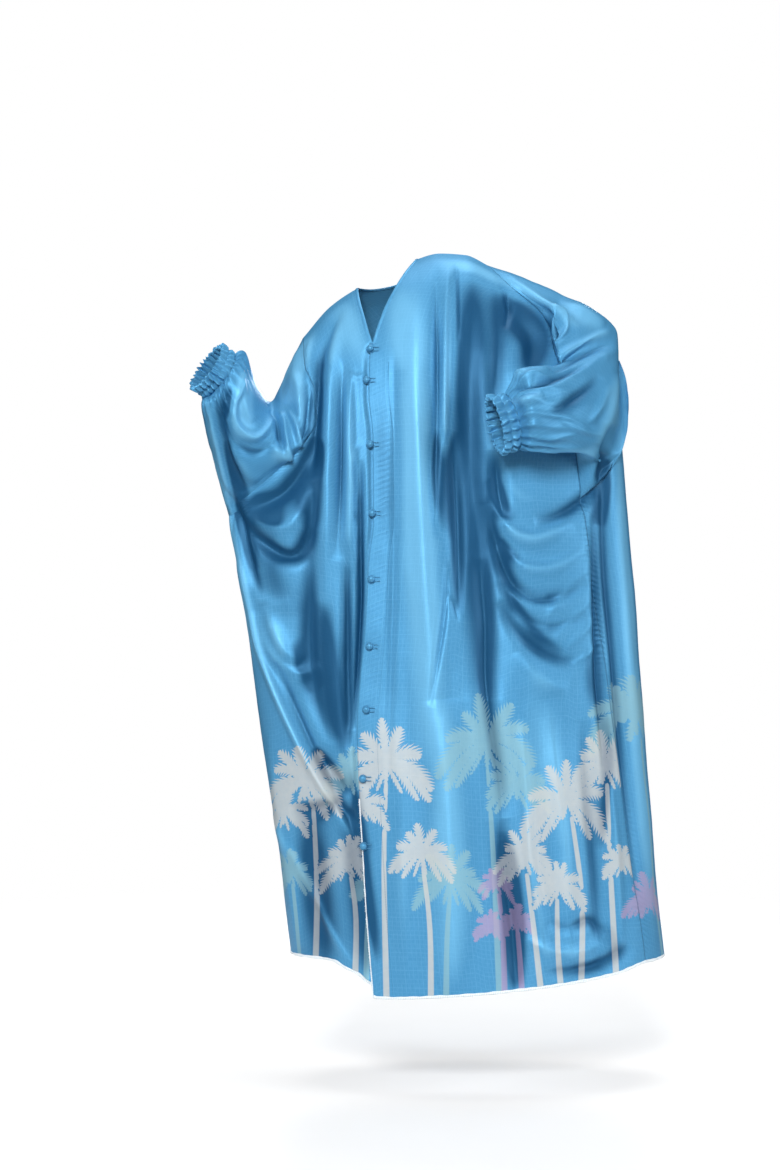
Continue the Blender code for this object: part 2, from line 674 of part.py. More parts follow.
def add_wall(name, outer, inner, closed, flip):
    """A closed wall between two grids, or a tube of cloth where the grids close on themselves."""
    rows, columns, _ = outer.shape
    count = rows * columns
    sheet = grid_faces(rows, columns, closed, False)
    index = np.arange(count).reshape(rows, columns)
    loops = []
    if closed:
        loops = [np.append(index[0], index[0][0]), np.append(index[-1], index[-1][0])[::-1]]
    else:
        loops = [np.concatenate([index[0], index[1:, -1], index[-1, -2::-1], index[-2::-1, 0]])]
    rims = []
    for loop in loops:
        a, b = loop[:-1], loop[1:]
        rims += [np.stack([a, b, b + count], 1), np.stack([a, b + count, a + count], 1)]
    faces = np.concatenate([sheet, sheet[:, ::-1] + count, *rims])
    points = np.concatenate([outer.reshape(-1, 3), inner.reshape(-1, 3)])
    material = satin(name, SATIN_BLUE, SATIN_ROUGHNESS)
    return add_mesh(name, points, faces[:, ::-1] if flip else faces, material)


def armhole_loop(front, back, count):
    """The seam of a sleeve: down the front edge, up the back edge, with midpoints between."""
    down, up = front[: count + 1], back[count:0:-1]
    corners = np.concatenate([down, up])
    middles = (corners + np.roll(corners, -1, axis=0)) / 2
    loop = np.empty((2 * len(corners), 3))
    loop[0::2], loop[1::2] = corners, middles
    return loop


def loop_turn(loop):
    """The share of a turn of each point: 0 on top, a half at the underarm."""
    half = len(loop) // 2
    span = np.linalg.norm(np.diff(np.vstack([loop, loop[:1]]), axis=0), axis=1)
    run = np.concatenate([[0.0], np.cumsum(span)])
    turn = np.where(
        np.arange(len(loop)) <= half,
        0.5 * run[:-1] / run[half],
        0.5 + 0.5 * (run[:-1] - run[half]) / (run[-1] - run[half]),
    )
    return turn


def ring_through(four, turn):
    """A smooth closed ring through a top, front, under and back point."""
    top, front, under, back = (np.asarray(p, float) for p in four)
    angle = 2 * math.pi * turn[:, None]
    return (
        (top + front + under + back) / 4
        + (top - under) / 2 * np.cos(angle)
        + (front - back) / 2 * np.sin(angle)
        + (top + under - front - back) / 4 * np.cos(2 * angle)
    )


def cuff_axes(cuff):
    middle, along, upward = (np.asarray(cuff[part], float) for part in ("middle", "along", "upward"))
    along = unit(along)
    upward = unit(upward - upward @ along * along)
    return middle, along, upward


def cuff_ring(cuff, turn, hand):
    """An oval round the arm, with its front a quarter of a turn from its top."""
    middle, along, upward = cuff_axes(cuff)
    forward = np.cross(along, upward) * hand
    angle = 2 * math.pi * turn[:, None]
    long, deep = cuff["half_length"], cuff["half_depth"]
    return middle + upward * long * np.cos(angle) + forward * deep * np.sin(angle)


def sleeve_grid(loop, rings, cuff, hand, folds):
    """The outer face of a sleeve, ring by ring from its armhole to its cuff."""
    turn = loop_turn(loop)
    even = np.arange(len(loop)) / len(loop)
    quarter = [np.array([np.interp(part, turn, loop[:, axis]) for axis in range(3)])
               for part in (0.0, 0.25, 0.5, 0.75)]
    last = cuff_ring(cuff, np.array([0.0, 0.25, 0.5, 0.75]), hand)
    stations = np.array([quarter, *rings[1:], last])
    lanes = np.stack([path_points(stations[:, lane]) for lane in range(4)], axis=1)
    picked = np.linspace(0, len(lanes) - 1, SLEEVE_RINGS)
    own = loop - ring_through(quarter, turn)
    found = []
    for position in picked:
        share = position / (len(lanes) - 1)
        four = [[np.interp(position, np.arange(len(lanes)), lanes[:, lane, axis]) for axis in range(3)]
                for lane in range(4)]
        here = turn * (1 - share) + even * share
        found.append(ring_through(four, here) + own * (1 - ease(share / ARMHOLE_BLEND)))
    points = np.array(found)
    rows, columns, _ = points.shape
    faces = grid_faces(rows, columns, True, hand > 0)
    outward = unit(corner_normals(points.reshape(-1, 3), faces)).reshape(points.shape)
    share = np.linspace(0.0, 1.0, rows)[:, None]
    inner_rows = ease(share / FOLDS_IN) * ease((1 - share) / FOLDS_OUT)
    lift = relief(folds, points[..., 0], points[..., 2]) * ease(-FACING * outward[..., 1]) * inner_rows
    wave = np.cos(math.pi / 2 * np.arange(columns))
    gather = ease((share - GATHER_START) / (1 - GATHER_START))
    gather = gather * (1 - GATHER_LOSS * ease((share - GATHER_CALM) / (1 - GATHER_CALM)))
    return points + outward * (lift + GATHER_HEIGHT * gather * wave)[..., None]


def add_parts(name, outer, normals, bands, parts, flip):
    """A wall in bands of rows and parts of columns, with a gap along every cut edge."""
    for band, top, bottom in bands:
        for part, columns, cut_sides in parts:
            cuts = {"top": top > 0, "bottom": bottom < len(outer) - 1, **cut_sides}
            edges = {side: slice(None) for side, cut in cuts.items() if cut}
            block = np.ix_(range(top, bottom + 1), columns)
            shown = step_back(outer[block], edges, CUT_GAP)
            node = "_".join(filter(None, (name, band, part)))
            add_wall(node, shown, shown - normals[block] * WALL, False, flip)


def make_panel_solids(name, grid, seams, parts, columns):
    """The wall of a panel, cut across at the bands and down at the given columns."""
    outer = step_back(grid["points"], seams)
    stops = (0, *columns, outer.shape[1] - 1)
    bands = [(band, ROWS.index(low), ROWS.index(high)) for band, low, high in BANDS[1:]]
    parts = [(part, range(first, last + 1), {"first": first > 0, "last": last < stops[-1]})
             for part, first, last in zip(parts, stops, stops[1:])]
    add_parts(name, outer, grid["normals"], bands, parts, False)


def make_sleeve_solids(name, grid, cuff):
    """A sleeve's wall, part by part, whose last ring lies flat against the cuff."""
    middle, along, _ = cuff_axes(cuff)
    outer = grid["points"].copy()
    first = grid["points"][0]
    ahead = grid["points"][1] - first
    around = unit(np.roll(first, -1, axis=0) - np.roll(first, 1, axis=0))
    ahead -= (ahead * around).sum(-1, keepdims=True) * around
    outer[0] += unit(ahead) * SEAM_GAP * SEAM_SHARE
    normals = grid["normals"].copy()
    normals[0, 1::2] = unit(normals[0, 0::2] + np.roll(normals[0, 0::2], -1, axis=0))
    radial = outer[-1] - middle
    radial -= (radial @ along)[:, None] * along
    outer[-1] = middle + radial - along * SEAM_GAP / 2
    normals[-1] = unit(radial)
    count = outer.shape[1]
    for part, from_turn, to_turn, bands in SLEEVE_PARTS[1:]:
        columns = np.arange(round(from_turn * count), round(to_turn * count) + 1)
        parts = [(part, (columns - SLEEVE_CUT_BACK) % count, {"first": True, "last": True})]
        add_parts(name, outer, normals, bands, parts, grid["flip"])


def make_cuff_solid(name, cuff, hand):
    """A gathered band round the wrist."""
    count = 4 * cuff["gathers"]
    turn = np.arange(count) / count
    middle, along, _ = cuff_axes(cuff)
    base = cuff_ring(cuff, turn, hand) - middle
    outward = unit(base)
    wave = np.cos(math.pi / 2 * np.arange(count))[:, None]
    outer, inner = [], []
    for share, swell, height in CUFF_ROWS[1:]:
        ahead = along * (SEAM_GAP / 2 + cuff["band"] * share)
        at = middle + ahead + base * swell + outward * wave * height
        outer.append(at)
        inner.append(at - outward * CUFF_WALL)
    add_wall(name, np.array(outer), np.array(inner), True, hand > 0)


def make_binding(left_angles, right_angles, back_angles):
    """The narrow strip round the neck, from the point of the V and back to it."""
    rows = drops(0.0, V_DEPTH)
    stops = []
    for drop in rows[::-1]:
        edge = float(glide(LAPPED_EDGE, "x", drop))
        stops.append((angle_at(edge + BINDING_GAP, drop), angle_at(edge + BINDING_WIDTH, drop), drop, drop))
    first, last = 2 - left_angles[0, 0], 2 - right_angles[0, -1]
    columns = [c for c in back_angles[0] if first < c < last]
    for c in columns:
        x = body_form(c, 0.0)[0]
        stops.append((c, c, float(neck_dip(x, 0.0)), float(neck_dip(x, BINDING_WIDTH))))
    for drop in rows:
        edge = float(glide(UNDER_EDGE, "x", drop))
        stops.append((angle_at(edge - BINDING_GAP, drop), angle_at(edge - BINDING_WIDTH, drop), drop, drop))
    section = []
    for c_neck, c_panel, neck_drop, panel_drop in stops:
        corners = []
        for c, drop in ((c_neck, neck_drop), (c_panel, panel_drop)):
            v = drop / LENGTH
            point, outward = cloth(c, v), body_normal(c, v)
            if drop == 0.0:
                outward = unit(body_normal(c, 0.0) + body_normal(2 - c, 0.0))
            corners.append((point, outward))
        (neck, up_neck), (panel, up_panel) = corners
        section.append([
            neck + up_neck * BINDING_PROUD, panel + up_panel * BINDING_PROUD,
            panel - up_panel * WALL, neck - up_neck * WALL,
        ])
    points = np.array(section)
    count = len(points)
    faces = [tuple(face) for face in grid_faces(count, 4, True, True)]
    faces += [(0, 2, 1), (0, 3, 2)]
    end = 4 * (count - 1)
    faces += [(end, end + 1, end + 2), (end, end + 2, end + 3)]
    add_mesh("neck_binding", points.reshape(-1, 3), faces, satin("neck_binding", SATIN_BLUE, TRIM_ROUGHNESS))


def seat_height(tree, spot, outward, across, upward):
    """How far out from a spot a ball button's centre lies when it just clears the cloth."""
    highest = 0.0
    for share in SEAT_SHARES:
        for angle in np.arange(SEAT_DIRECTIONS) * 2 * math.pi / SEAT_DIRECTIONS:
            aside = BUTTON_RADIUS * share * (across * math.cos(angle) + upward * math.sin(angle))
            start = Vector(spot + aside + outward * SEAT_ABOVE)
            distance = tree.ray_cast(start, Vector(-outward))[3]
            if distance is not None:
                ball = BUTTON_HEIGHT / 2 * math.sqrt(1 - share ** 2)
                highest = max(highest, SEAT_ABOVE - distance + ball)
    return highest + BUTTON_CLEAR


def make_button(number, drop, inside_edge, tree):
    """A covered ball button, a little flattened, just clear of the cloth that it lies on."""
    edge = float(glide(LAPPED_EDGE, "x", drop))
    c, v = angle_at(edge + inside_edge, drop), drop / LENGTH
    outward = body_normal(c, v)
    across = unit(np.cross(outward, (0.0, 0.0, 1.0)))
    upward = np.cross(outward, across)
    spot = cloth(c, v)
    centre = spot + outward * seat_height(tree, spot, outward, across, upward)
    points = [centre - outward * BUTTON_HEIGHT / 2]
    for ring in range(1, BUTTON_RINGS + 1):
        lean = math.pi * ring / (BUTTON_RINGS + 1)
        radius, height = BUTTON_RADIUS * math.sin(lean), -BUTTON_HEIGHT / 2 * math.cos(lean)
        for side in range(BUTTON_SIDES):
            angle = 2 * math.pi * side / BUTTON_SIDES
            points.append(
                centre + outward * height + radius * (across * math.cos(angle) + upward * math.sin(angle))
            )
    points.append(centre + outward * BUTTON_HEIGHT / 2)
    faces, top = [], len(points) - 1
    for side in range(BUTTON_SIDES):
        following = (side + 1) % BUTTON_SIDES
        faces.append((0, 1 + following, 1 + side))
        for ring in range(BUTTON_RINGS - 1):
            a, b = 1 + ring * BUTTON_SIDES + side, 1 + ring * BUTTON_SIDES + following
            faces += [(a, b, b + BUTTON_SIDES), (a, b + BUTTON_SIDES, a + BUTTON_SIDES)]
        faces.append((top, top - BUTTON_SIDES + side, top - BUTTON_SIDES + following))
    name = f"button_{number}"
    add_mesh(name, points, faces, satin(name, SATIN_BLUE, TRIM_ROUGHNESS))


def main():
    for found in list(bpy.data.objects):
        bpy.data.objects.remove(found, do_unlink=True)
    bpy.context.scene.unit_settings.scale_length = 1.0

    left_front, right_front = left_front_grid(), right_front_grid()
    back = back_grid(left_front[0], right_front[0])
    panels = {
        "front_left": cloth(*left_front),
        "front_right": cloth(*right_front, underlap_inset(*right_front)),
        "back": cloth(*back),
    }
    count_left = len(drops(0.0, UNDERARM_LEFT)) - 1
    count_right = len(drops(0.0, UNDERARM_RIGHT)) - 1
    sew_panels(panels, count_left, count_right)
    loop_left = armhole_loop(panels["front_left"][:, -1], panels["back"][:, 0], count_left)
    loop_right = armhole_loop(panels["front_right"][:, 0], panels["back"][:, -1], count_right)

    cuff_left, cuff_right = (dict(zip(CUFFS[0], row)) for row in CUFFS[1:])
    sleeves = {
        "sleeve_left": sleeve_grid(loop_left, RINGS_LEFT, cuff_left, 1, SLEEVE_FOLDS_LEFT),
        "sleeve_right": sleeve_grid(loop_right, RINGS_RIGHT, cuff_right, -1, SLEEVE_FOLDS_RIGHT),
    }
    grids = [{"points": points, "closed": False, "flip": False} for points in panels.values()]
    grids += [{"points": points, "closed": True, "flip": name == "sleeve_left"}
              for name, points in sleeves.items()]
    shared_normals(grids)

    whole = slice(None)
    seams = (
        {"top": whole, "last": whole},
        {"top": whole, "first": whole},
        {"top": whole, "first": whole, "last": whole},
    )
    for (name, parts, columns), grid, sides in zip(PARTS[1:], grids, seams):
        make_panel_solids(name, grid, sides, parts, columns)
    lapped = grids[0]["points"]
    faces = grid_faces(*lapped.shape[:2], False, False)
    tree = BVHTree.FromPolygons(lapped.reshape(-1, 3).tolist(), faces.tolist())
    make_sleeve_solids("sleeve_left", grids[3], cuff_left)
    make_sleeve_solids("sleeve_right", grids[4], cuff_right)
    make_cuff_solid("cuff_left", cuff_left, 1)
    make_cuff_solid("cuff_right", cuff_right, -1)
    make_binding(left_front[0], right_front[0], back[0])
    for number, (drop, inside_edge) in enumerate(BUTTONS[1:], start=1):
        make_button(number, drop, inside_edge, tree)


main()
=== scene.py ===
import math

import bpy
import numpy as np
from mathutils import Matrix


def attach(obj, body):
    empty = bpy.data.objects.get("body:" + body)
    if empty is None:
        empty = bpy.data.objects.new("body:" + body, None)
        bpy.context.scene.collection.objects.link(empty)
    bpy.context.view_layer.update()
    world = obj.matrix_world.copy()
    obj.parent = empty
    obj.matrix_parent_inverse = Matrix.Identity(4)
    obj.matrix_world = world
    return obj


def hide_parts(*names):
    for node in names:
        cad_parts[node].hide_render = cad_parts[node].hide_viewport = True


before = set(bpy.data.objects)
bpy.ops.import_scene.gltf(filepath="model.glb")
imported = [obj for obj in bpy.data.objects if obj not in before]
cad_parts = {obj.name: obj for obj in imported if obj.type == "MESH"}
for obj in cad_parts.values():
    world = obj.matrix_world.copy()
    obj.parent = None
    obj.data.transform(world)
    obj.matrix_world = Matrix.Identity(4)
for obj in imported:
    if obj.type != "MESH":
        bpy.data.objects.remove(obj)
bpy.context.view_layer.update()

# Worn caftan with nobody inside, in metres, in the frame of the CAD model: +Z up, the front faces
# -Y, left and right are the wearer's. The body is the model's closed form, sampled finely, with
# folds of its own. It is fitted further to the photo: its outline and edges lie up to 6 mm off the
# model's, the sleeves' rings up to 11 mm, and the step of the hem up to 22 mm. Folds, prints and
# seams are placed where the front camera sees them, in pixels of the 780 x 1170 picture, each of
# which spans PIXEL metres where y is 0.
PIXEL = 0.002
ORIGIN_X, MIDDLE_Y = 390, 585
CAMERA_DISTANCE = 4.6
CAMERA_Z = -0.62
PICTURE_HEIGHT = 1170
SENSOR = 36.0
FLOOR_Z = -1.61

# Driving sizes of the cloth and its trimmings
LENGTH = 1.42
LAP = 0.036
LAP_STEP = 0.014
LAP_STEP_CLEAR = 0.001
LAP_INSET = 0.0048
FACING_INSET = 0.0022
V_DEPTH = 0.137
BINDING_WIDTH = 0.0065
BINDING_THICKNESS = 0.0024
BINDING_OVERRUN = 0.004
BINDING_SIDES = 12
EDGING_WIDTH = 0.0052
LAP_EDGING_WIDTH = 0.0024
EDGING_THICKNESS = 0.0026
EDGING_SIDES = 8
LAP_EDGING_FROM = 1.035
FRAYS_APART = 0.0042
BUTTON_RADIUS = 0.007
BUTTON_HEIGHT = 0.011
BUTTON_CLEAR = 0.0006
BUTTON_TUCKS = 9
TUCK_DEPTH = 0.035
LOOP_RADIUS = 0.0008
LOOP_LIFT = 0.0022
LOOP_TAIL = 0.010
LOOP_SIDES = 8
# How the body is shaped: squareness of its outline, the drop below which its rows are level and
# the columns of the back even, and how sharply those columns crowd at the seams, above and below
BOXINESS = 0.88
FLAT_BELOW = 0.42
EVEN_BELOW = 0.40
CROWDING = (2, 6)
# Where folds start below the shoulder line, the drop over which they grow, and how soon they end
# towards the silhouette
FOLDS_FROM = 0.004
FOLDS_GROW = 0.05
FACING = 3.0

# Rows of every panel: from each drop to the next, this far apart
ROW_STEPS = (
    ("from", "to", "step"),
    (0.000, 0.137, 0.0050),
    (0.137, 0.466, 0.0060),
    (0.466, 0.507, 0.0060),
    (0.507, 0.760, 0.0060),
    (0.760, 1.420, 0.0026),
)
UNDERARM_RIGHT = 0.507
UNDERARM_LEFT = 0.466
COLUMNS_LEFT_FRONT = 200
COLUMNS_RIGHT_FRONT = 74
COLUMNS_LAP = 14
COLUMNS_BACK = 190
SLEEVE_RINGS = 130

# Outline and depth of the body, by drop below the shoulder line
LEVELS = (
    ("drop", "low_x", "high_x", "front", "back", "low_x_depth", "high_x_depth"),
    (0.000, -0.251, 0.273, 0.000, 0.000, 0.000, 0.000),
    (0.015, -0.255, 0.307, -0.028, 0.027, -0.002, 0.002),
    (0.035, -0.263, 0.367, -0.050, 0.047, -0.004, 0.005),
    (0.060, -0.267, 0.403, -0.070, 0.065, -0.007, 0.008),
    (0.095, -0.266, 0.420, -0.090, 0.082, -0.012, 0.012),
    (0.137, -0.258, 0.426, -0.108, 0.096, -0.018, 0.016),
    (0.190, -0.252, 0.442, -0.124, 0.108, -0.025, 0.020),
    (0.285, -0.252, 0.461, -0.140, 0.117, -0.036, 0.024),
    (0.380, -0.278, 0.468, -0.146, 0.120, -0.043, 0.026),
    (0.466, -0.310, 0.474, -0.150, 0.120, -0.047, 0.027),
    (0.507, -0.318, 0.478, -0.151, 0.121, -0.048, 0.028),
    (0.610, -0.302, 0.487, -0.155, 0.125, -0.046, 0.030),
    (0.765, -0.279, 0.499, -0.164, 0.136, -0.038, 0.034),
    (0.965, -0.255, 0.513, -0.177, 0.152, -0.024, 0.039),
    (1.165, -0.226, 0.528, -0.189, 0.172, -0.008, 0.044),
    (1.420, -0.199, 0.552, -0.200, 0.200, 0.015, 0.050),
)
# Height of the shoulder line across the garment
SHOULDER = (
    ("x", "z"),
    (-0.310, -0.300),
    (-0.240, -0.200),
    (-0.174, -0.126),
    (-0.120, -0.064),
    (-0.064, -0.026),
    (0.050, 0.030),
    (0.100, 0.043),
    (0.150, 0.040),
    (0.196, 0.019),
    (0.260, -0.014),
    (0.350, -0.048),
    (0.420, -0.094),
)
# Real length from the shoulder line to the hem, by angle round the body
HEM = (
    ("angle", "length"),
    (-1.00, 1.356),
    (-0.66, 1.351),
    (-0.56, 1.352),
    (-0.52, 1.358),
    (-0.44, 1.384),
    (-0.36, 1.416),
    (-0.10, 1.408),
    (0.28, 1.388),
    (0.50, 1.374),
    (0.67, 1.360),
    (1.00, 1.363),
    (1.50, 1.385),
    (2.00, 1.400),
    (2.50, 1.385),
    (3.00, 1.352),
)
# The underlapping front is cut shorter towards its edge, by angle, in its rows below this drop
SHORTER_BELOW = 1.09
UNDER_END = (
    ("angle", "share"),
    (-1.00, 1.000),
    (-0.52, 1.000),
    (-0.44, 0.992),
    (-0.36, 0.984),
    (0.00, 0.984),
)
# Where the sleeves are set in: angle of the seam on the front and on the back, by drop
ARMHOLE_RIGHT = (
    ("drop", "front", "back"),
    (0.000, -0.500, 2.500),
    (0.137, -0.500, 2.500),
    (0.285, -0.500, 2.520),
    (0.360, -0.530, 2.580),
    (0.425, -0.620, 2.680),
    (0.466, -0.740, 2.800),
    (0.507, -1.000, 3.000),
)
ARMHOLE_LEFT = (
    ("drop", "front", "back"),
    (0.000, 0.500, 1.500),
    (0.060, 0.500, 1.490),
    (0.137, 0.500, 1.340),
    (0.235, 0.500, 1.080),
    (0.330, 0.506, 0.900),
    (0.425, 0.526, 0.690),
    (0.466, 0.543, 0.543),
)
# The left side seam lies on the front of the body, by drop
SIDE_SEAM_LEFT = (
    ("drop", "angle"),
    (0.466, 0.543),
    (0.600, 0.561),
    (1.000, 0.614),
    (1.420, 0.667),
)
# Edge of the overlapping front: the V of the neck, then the buttoned edge
LAPPED_EDGE = (
    ("drop", "x"),
    (0.000, 0.050),
    (0.022, 0.029),
    (0.048, 0.009),
    (0.080, -0.012),
    (0.137, -0.034),
    (0.165, -0.040),
    (0.240, -0.042),
    (0.335, -0.034),
    (0.500, -0.033),
    (0.580, -0.042),
    (0.715, -0.049),
    (0.805, -0.058),
    (0.910, -0.064),
    (0.990, -0.061),
    (1.147, -0.052),
    (1.304, -0.042),
    (1.420, -0.032),
)
# Edge of the underlapping front down to the point of the V, and the start of its underlap, which
# sinks behind the other front over this drop
UNDER_EDGE = (
    ("drop", "x"),
    (0.000, -0.064),
    (0.028, -0.060),
    (0.075, -0.050),
    (0.137, -0.035),
    (0.152, -0.030),
    (0.172, -0.014),
    (0.200, -0.004),
)
UNDERLAP_SINKS = 0.013
# Dip of the back neckline under the shoulder line
BACK_NECK_DIP = 0.030

# Folds as the front camera sees them, in pixels of the picture: along the path, walked as it is
# written, a fold is this wide on the walker's left and right and this many millimetres high, times
# FOLD_DEPTH
RIGHT_FRONT_FOLDS = (
    ("name", "path", "left", "right", "height"),
    ("lap_ridge", ((351, 372), (350, 430), (351, 500), (350, 570)), 4, 7, 7.0),
    ("lap_ridge_curl", ((361, 440), (354, 456), (352, 478), (357, 500)), 4, 3, 2.5),
    ("lap_dark", ((359, 460), (360, 540), (360, 600), (357, 660), (352, 730)), 4, 4, -10.0),
    ("front_dark", ((347, 540), (347, 620), (347, 680), (349, 750)), 5, 5, -9.0),
    ("swing_dark", ((314, 748), (330, 772), (348, 796)), 8, 8, -11.0),
    ("shoulder_trough", ((345, 296), (336, 318), (324, 342), (318, 366), (317, 392), (314, 440),
                         (310, 490)), 7, 6, -8.0),
    ("neck_ridge", ((346, 304), (335, 338), (330, 380), (328, 440), (326, 510), (324, 570),
                    (322, 610)), 6, 6, 5.0),
    ("neck_dark", ((344, 360), (341, 400), (341, 440), (340, 500), (338, 560)), 4, 4, -7.0),
    ("armhole_ridge", ((312, 330), (309, 352), (309, 380)), 5, 5, 4.0),
    ("pouch_shadow", ((313, 436), (302, 466), (286, 488), (266, 502), (246, 512)), 13, 10, -11.0),
    ("high_swag", ((254, 520), (272, 528), (288, 526), (301, 510)), 5, 5, 4.0),
    ("swag_shadow", ((232, 506), (246, 528), (262, 543), (282, 555), (298, 552), (310, 526), (314, 480)),
     8, 8, -11.0),
    ("edge_dark", ((220, 462), (229, 496), (239, 530), (251, 568), (262, 602)), 5, 7, -9.0),
    ("middle_swag", ((240, 560), (254, 590), (272, 604), (290, 600)), 7, 8, 3.0),
    ("low_swag", ((258, 612), (265, 640), (278, 660), (299, 674), (320, 664)), 5, 7, 4.0),
    ("swag_light", ((266, 606), (275, 630), (286, 652), (300, 662)), 7, 7, 7.0),
    ("left_dark", ((314, 530), (310, 590), (308, 640), (314, 690), (330, 744)), 10, 11, -9.0),
    ("low_dark", ((346, 810), (354, 850), (360, 900), (366, 980)), 10, 12, -13.0),
    ("skirt_dark", ((305, 800), (310, 860), (316, 910), (324, 980)), 18, 20, -11.0),
    ("swing_low", ((288, 806), (312, 812), (336, 806), (360, 826)), 9, 9, -9.0),
    ("long_pull", ((233, 530), (242, 566), (251, 606), (263, 655), (283, 706), (306, 756), (330, 800),
                   (358, 851)), 3, 5, 8.0),
    ("long_pull_trough", ((274, 660), (296, 712), (318, 760), (342, 806)), 5, 4, -6.0),
    ("hem_pull", ((272, 808), (291, 853), (315, 906), (352, 967)), 2.5, 5, 4.5),
    ("side_roll", ((268, 730), (280, 810), (290, 890), (298, 950)), 8, 6, 5.0),
    ("edge_roll", ((358, 890), (366, 940), (372, 980)), 3, 5, 3.0),
    ("slant", ((349, 372), (357, 377), (366, 374)), 2, 2, 2.0),
)
LEFT_FRONT_FOLDS = (
    ("name", "path", "left", "right", "height"),
    ("front_band", ((424, 262), (417, 310), (416, 380), (419, 460), (423, 540), (428, 620), (434, 700),
                    (440, 780)), 15, 15, 9.0),
    ("placket_hollow", ((394, 352), (394, 420), (394, 500), (393, 590), (390, 700), (388, 800)),
     4, 4, -2.5),
    ("front_groove", ((437, 262), (436, 300), (437, 350), (437, 410), (435, 470), (434, 530)), 4, 4, -5.5),
    ("long_crease", ((447, 560), (446, 600), (441, 640), (430, 706)), 2.5, 3, -4.0),
    ("groove_branch", ((447, 590), (454, 606), (458, 622)), 2, 3, -2.0),
    ("groove_ridge", ((449, 268), (446, 310), (445, 360), (445, 410), (446, 450)), 4, 4, 6.0),
    ("neck_crease", ((455, 258), (457, 275), (458, 300), (458, 340)), 1.8, 2.5, -3.0),
    ("chest_dark", ((474, 272), (472, 330), (470, 400), (472, 480), (480, 550), (484, 620), (487, 700)),
     16, 22, -10.0),
    ("shoulder_dark", ((496, 276), (499, 340), (493, 420)), 11, 10, -6.5),
    ("wrist_dark", ((452, 430), (456, 500), (458, 560), (458, 620)), 7, 7, -8.0),
    ("hand_dark", ((496, 450), (499, 486), (504, 524)), 7, 9, -8.0),
    ("armhole_wedge", ((500, 274), (507, 288), (512, 304), (507, 326)), 3, 4, -5.0),
    ("pocket", ((504, 286), (520, 318), (534, 342), (528, 376)), 14, 14, -10.0),
    ("wrist_swag", ((492, 500), (502, 520), (516, 534), (534, 538), (552, 532), (570, 520)), 6, 8, 6.5),
    ("swag_dark_a", ((490, 500), (499, 546), (514, 584), (544, 600), (588, 584)), 8, 8, -9.0),
    ("swag_dark_b", ((604, 470), (586, 498), (560, 515), (534, 522)), 7, 7, -8.0),
    ("side_dark", ((480, 560), (486, 620), (486, 680), (493, 740), (501, 790), (502, 840)), 8, 8, -8.5),
    ("swag_dark_c", ((500, 580), (520, 612), (550, 626), (590, 616)), 5, 6, -5.0),
    ("hip_swag", ((500, 544), (514, 560), (532, 568), (556, 566), (586, 548)), 5, 7, 4.5),
    ("hip_swag_third", ((506, 584), (524, 600), (544, 606), (566, 602), (592, 588)), 3, 5, 3.0),
    ("hip_hollow", ((500, 600), (516, 626), (534, 646), (556, 658), (582, 662)), 8, 8, -7.0),
    ("drag_a", ((594, 596), (574, 618), (556, 640)), 2.5, 4, 2.2),
    ("drag_b", ((598, 616), (582, 634), (566, 650)), 2.5, 4, 2.0),
    ("drag_c", ((590, 566), (566, 592), (546, 622)), 2.5, 4, 2.2),
    ("drag_d", ((602, 640), (588, 654), (574, 664)), 2.5, 4, 1.8),
    ("seam_dark", ((594, 500), (596, 580), (598, 660), (602, 720), (606, 790)), 7, 4, -9.0),
    ("hip_light", ((520, 650), (540, 680), (568, 690)), 9, 9, 4.0),
    ("skirt_light", ((440, 700), (446, 770), (450, 840), (452, 900), (452, 1000)), 16, 18, 9.0),
    ("skirt_roll_b", ((402, 760), (402, 850), (405, 930), (408, 1000)), 10, 10, 3.0),
    ("skirt_hollow_c", ((499, 820), (506, 880), (513, 930), (517, 1000)), 9, 10, -12.0),
    ("skirt_ridge_d", ((522, 720), (526, 790), (530, 860), (540, 920), (548, 976)), 6, 6, 6.0),
    ("skirt_roll_c", ((548, 700), (556, 780), (566, 860), (572, 978)), 9, 8, 6.0),
    ("skirt_hollow_d", ((580, 720), (588, 800), (596, 880), (600, 972)), 7, 7, -6.0),
    ("skirt_roll_d", ((604, 720), (610, 790), (616, 860), (622, 965)), 6, 6, 4.0),
    ("hem_dark", ((548, 920), (566, 928), (590, 920), (606, 936)), 5, 6, -5.0),
    ("hem_shade", ((540, 972), (570, 970), (600, 964), (630, 944)), 6, 8, -8.0),
    ("hem_swirl", ((524, 938), (548, 950), (576, 952), (604, 944)), 5, 6, 4.0),
    ("strip_hollow", ((603, 430), (604, 478), (605, 520), (608, 580), (614, 650), (620, 720), (628, 800),
                      (640, 900)), 5, 4, -8.0),
    ("strip_roll", ((616, 440), (621, 540), (627, 620), (634, 700), (641, 780), (648, 860),
                    (654, 950)), 6, 7, 3.5),
)
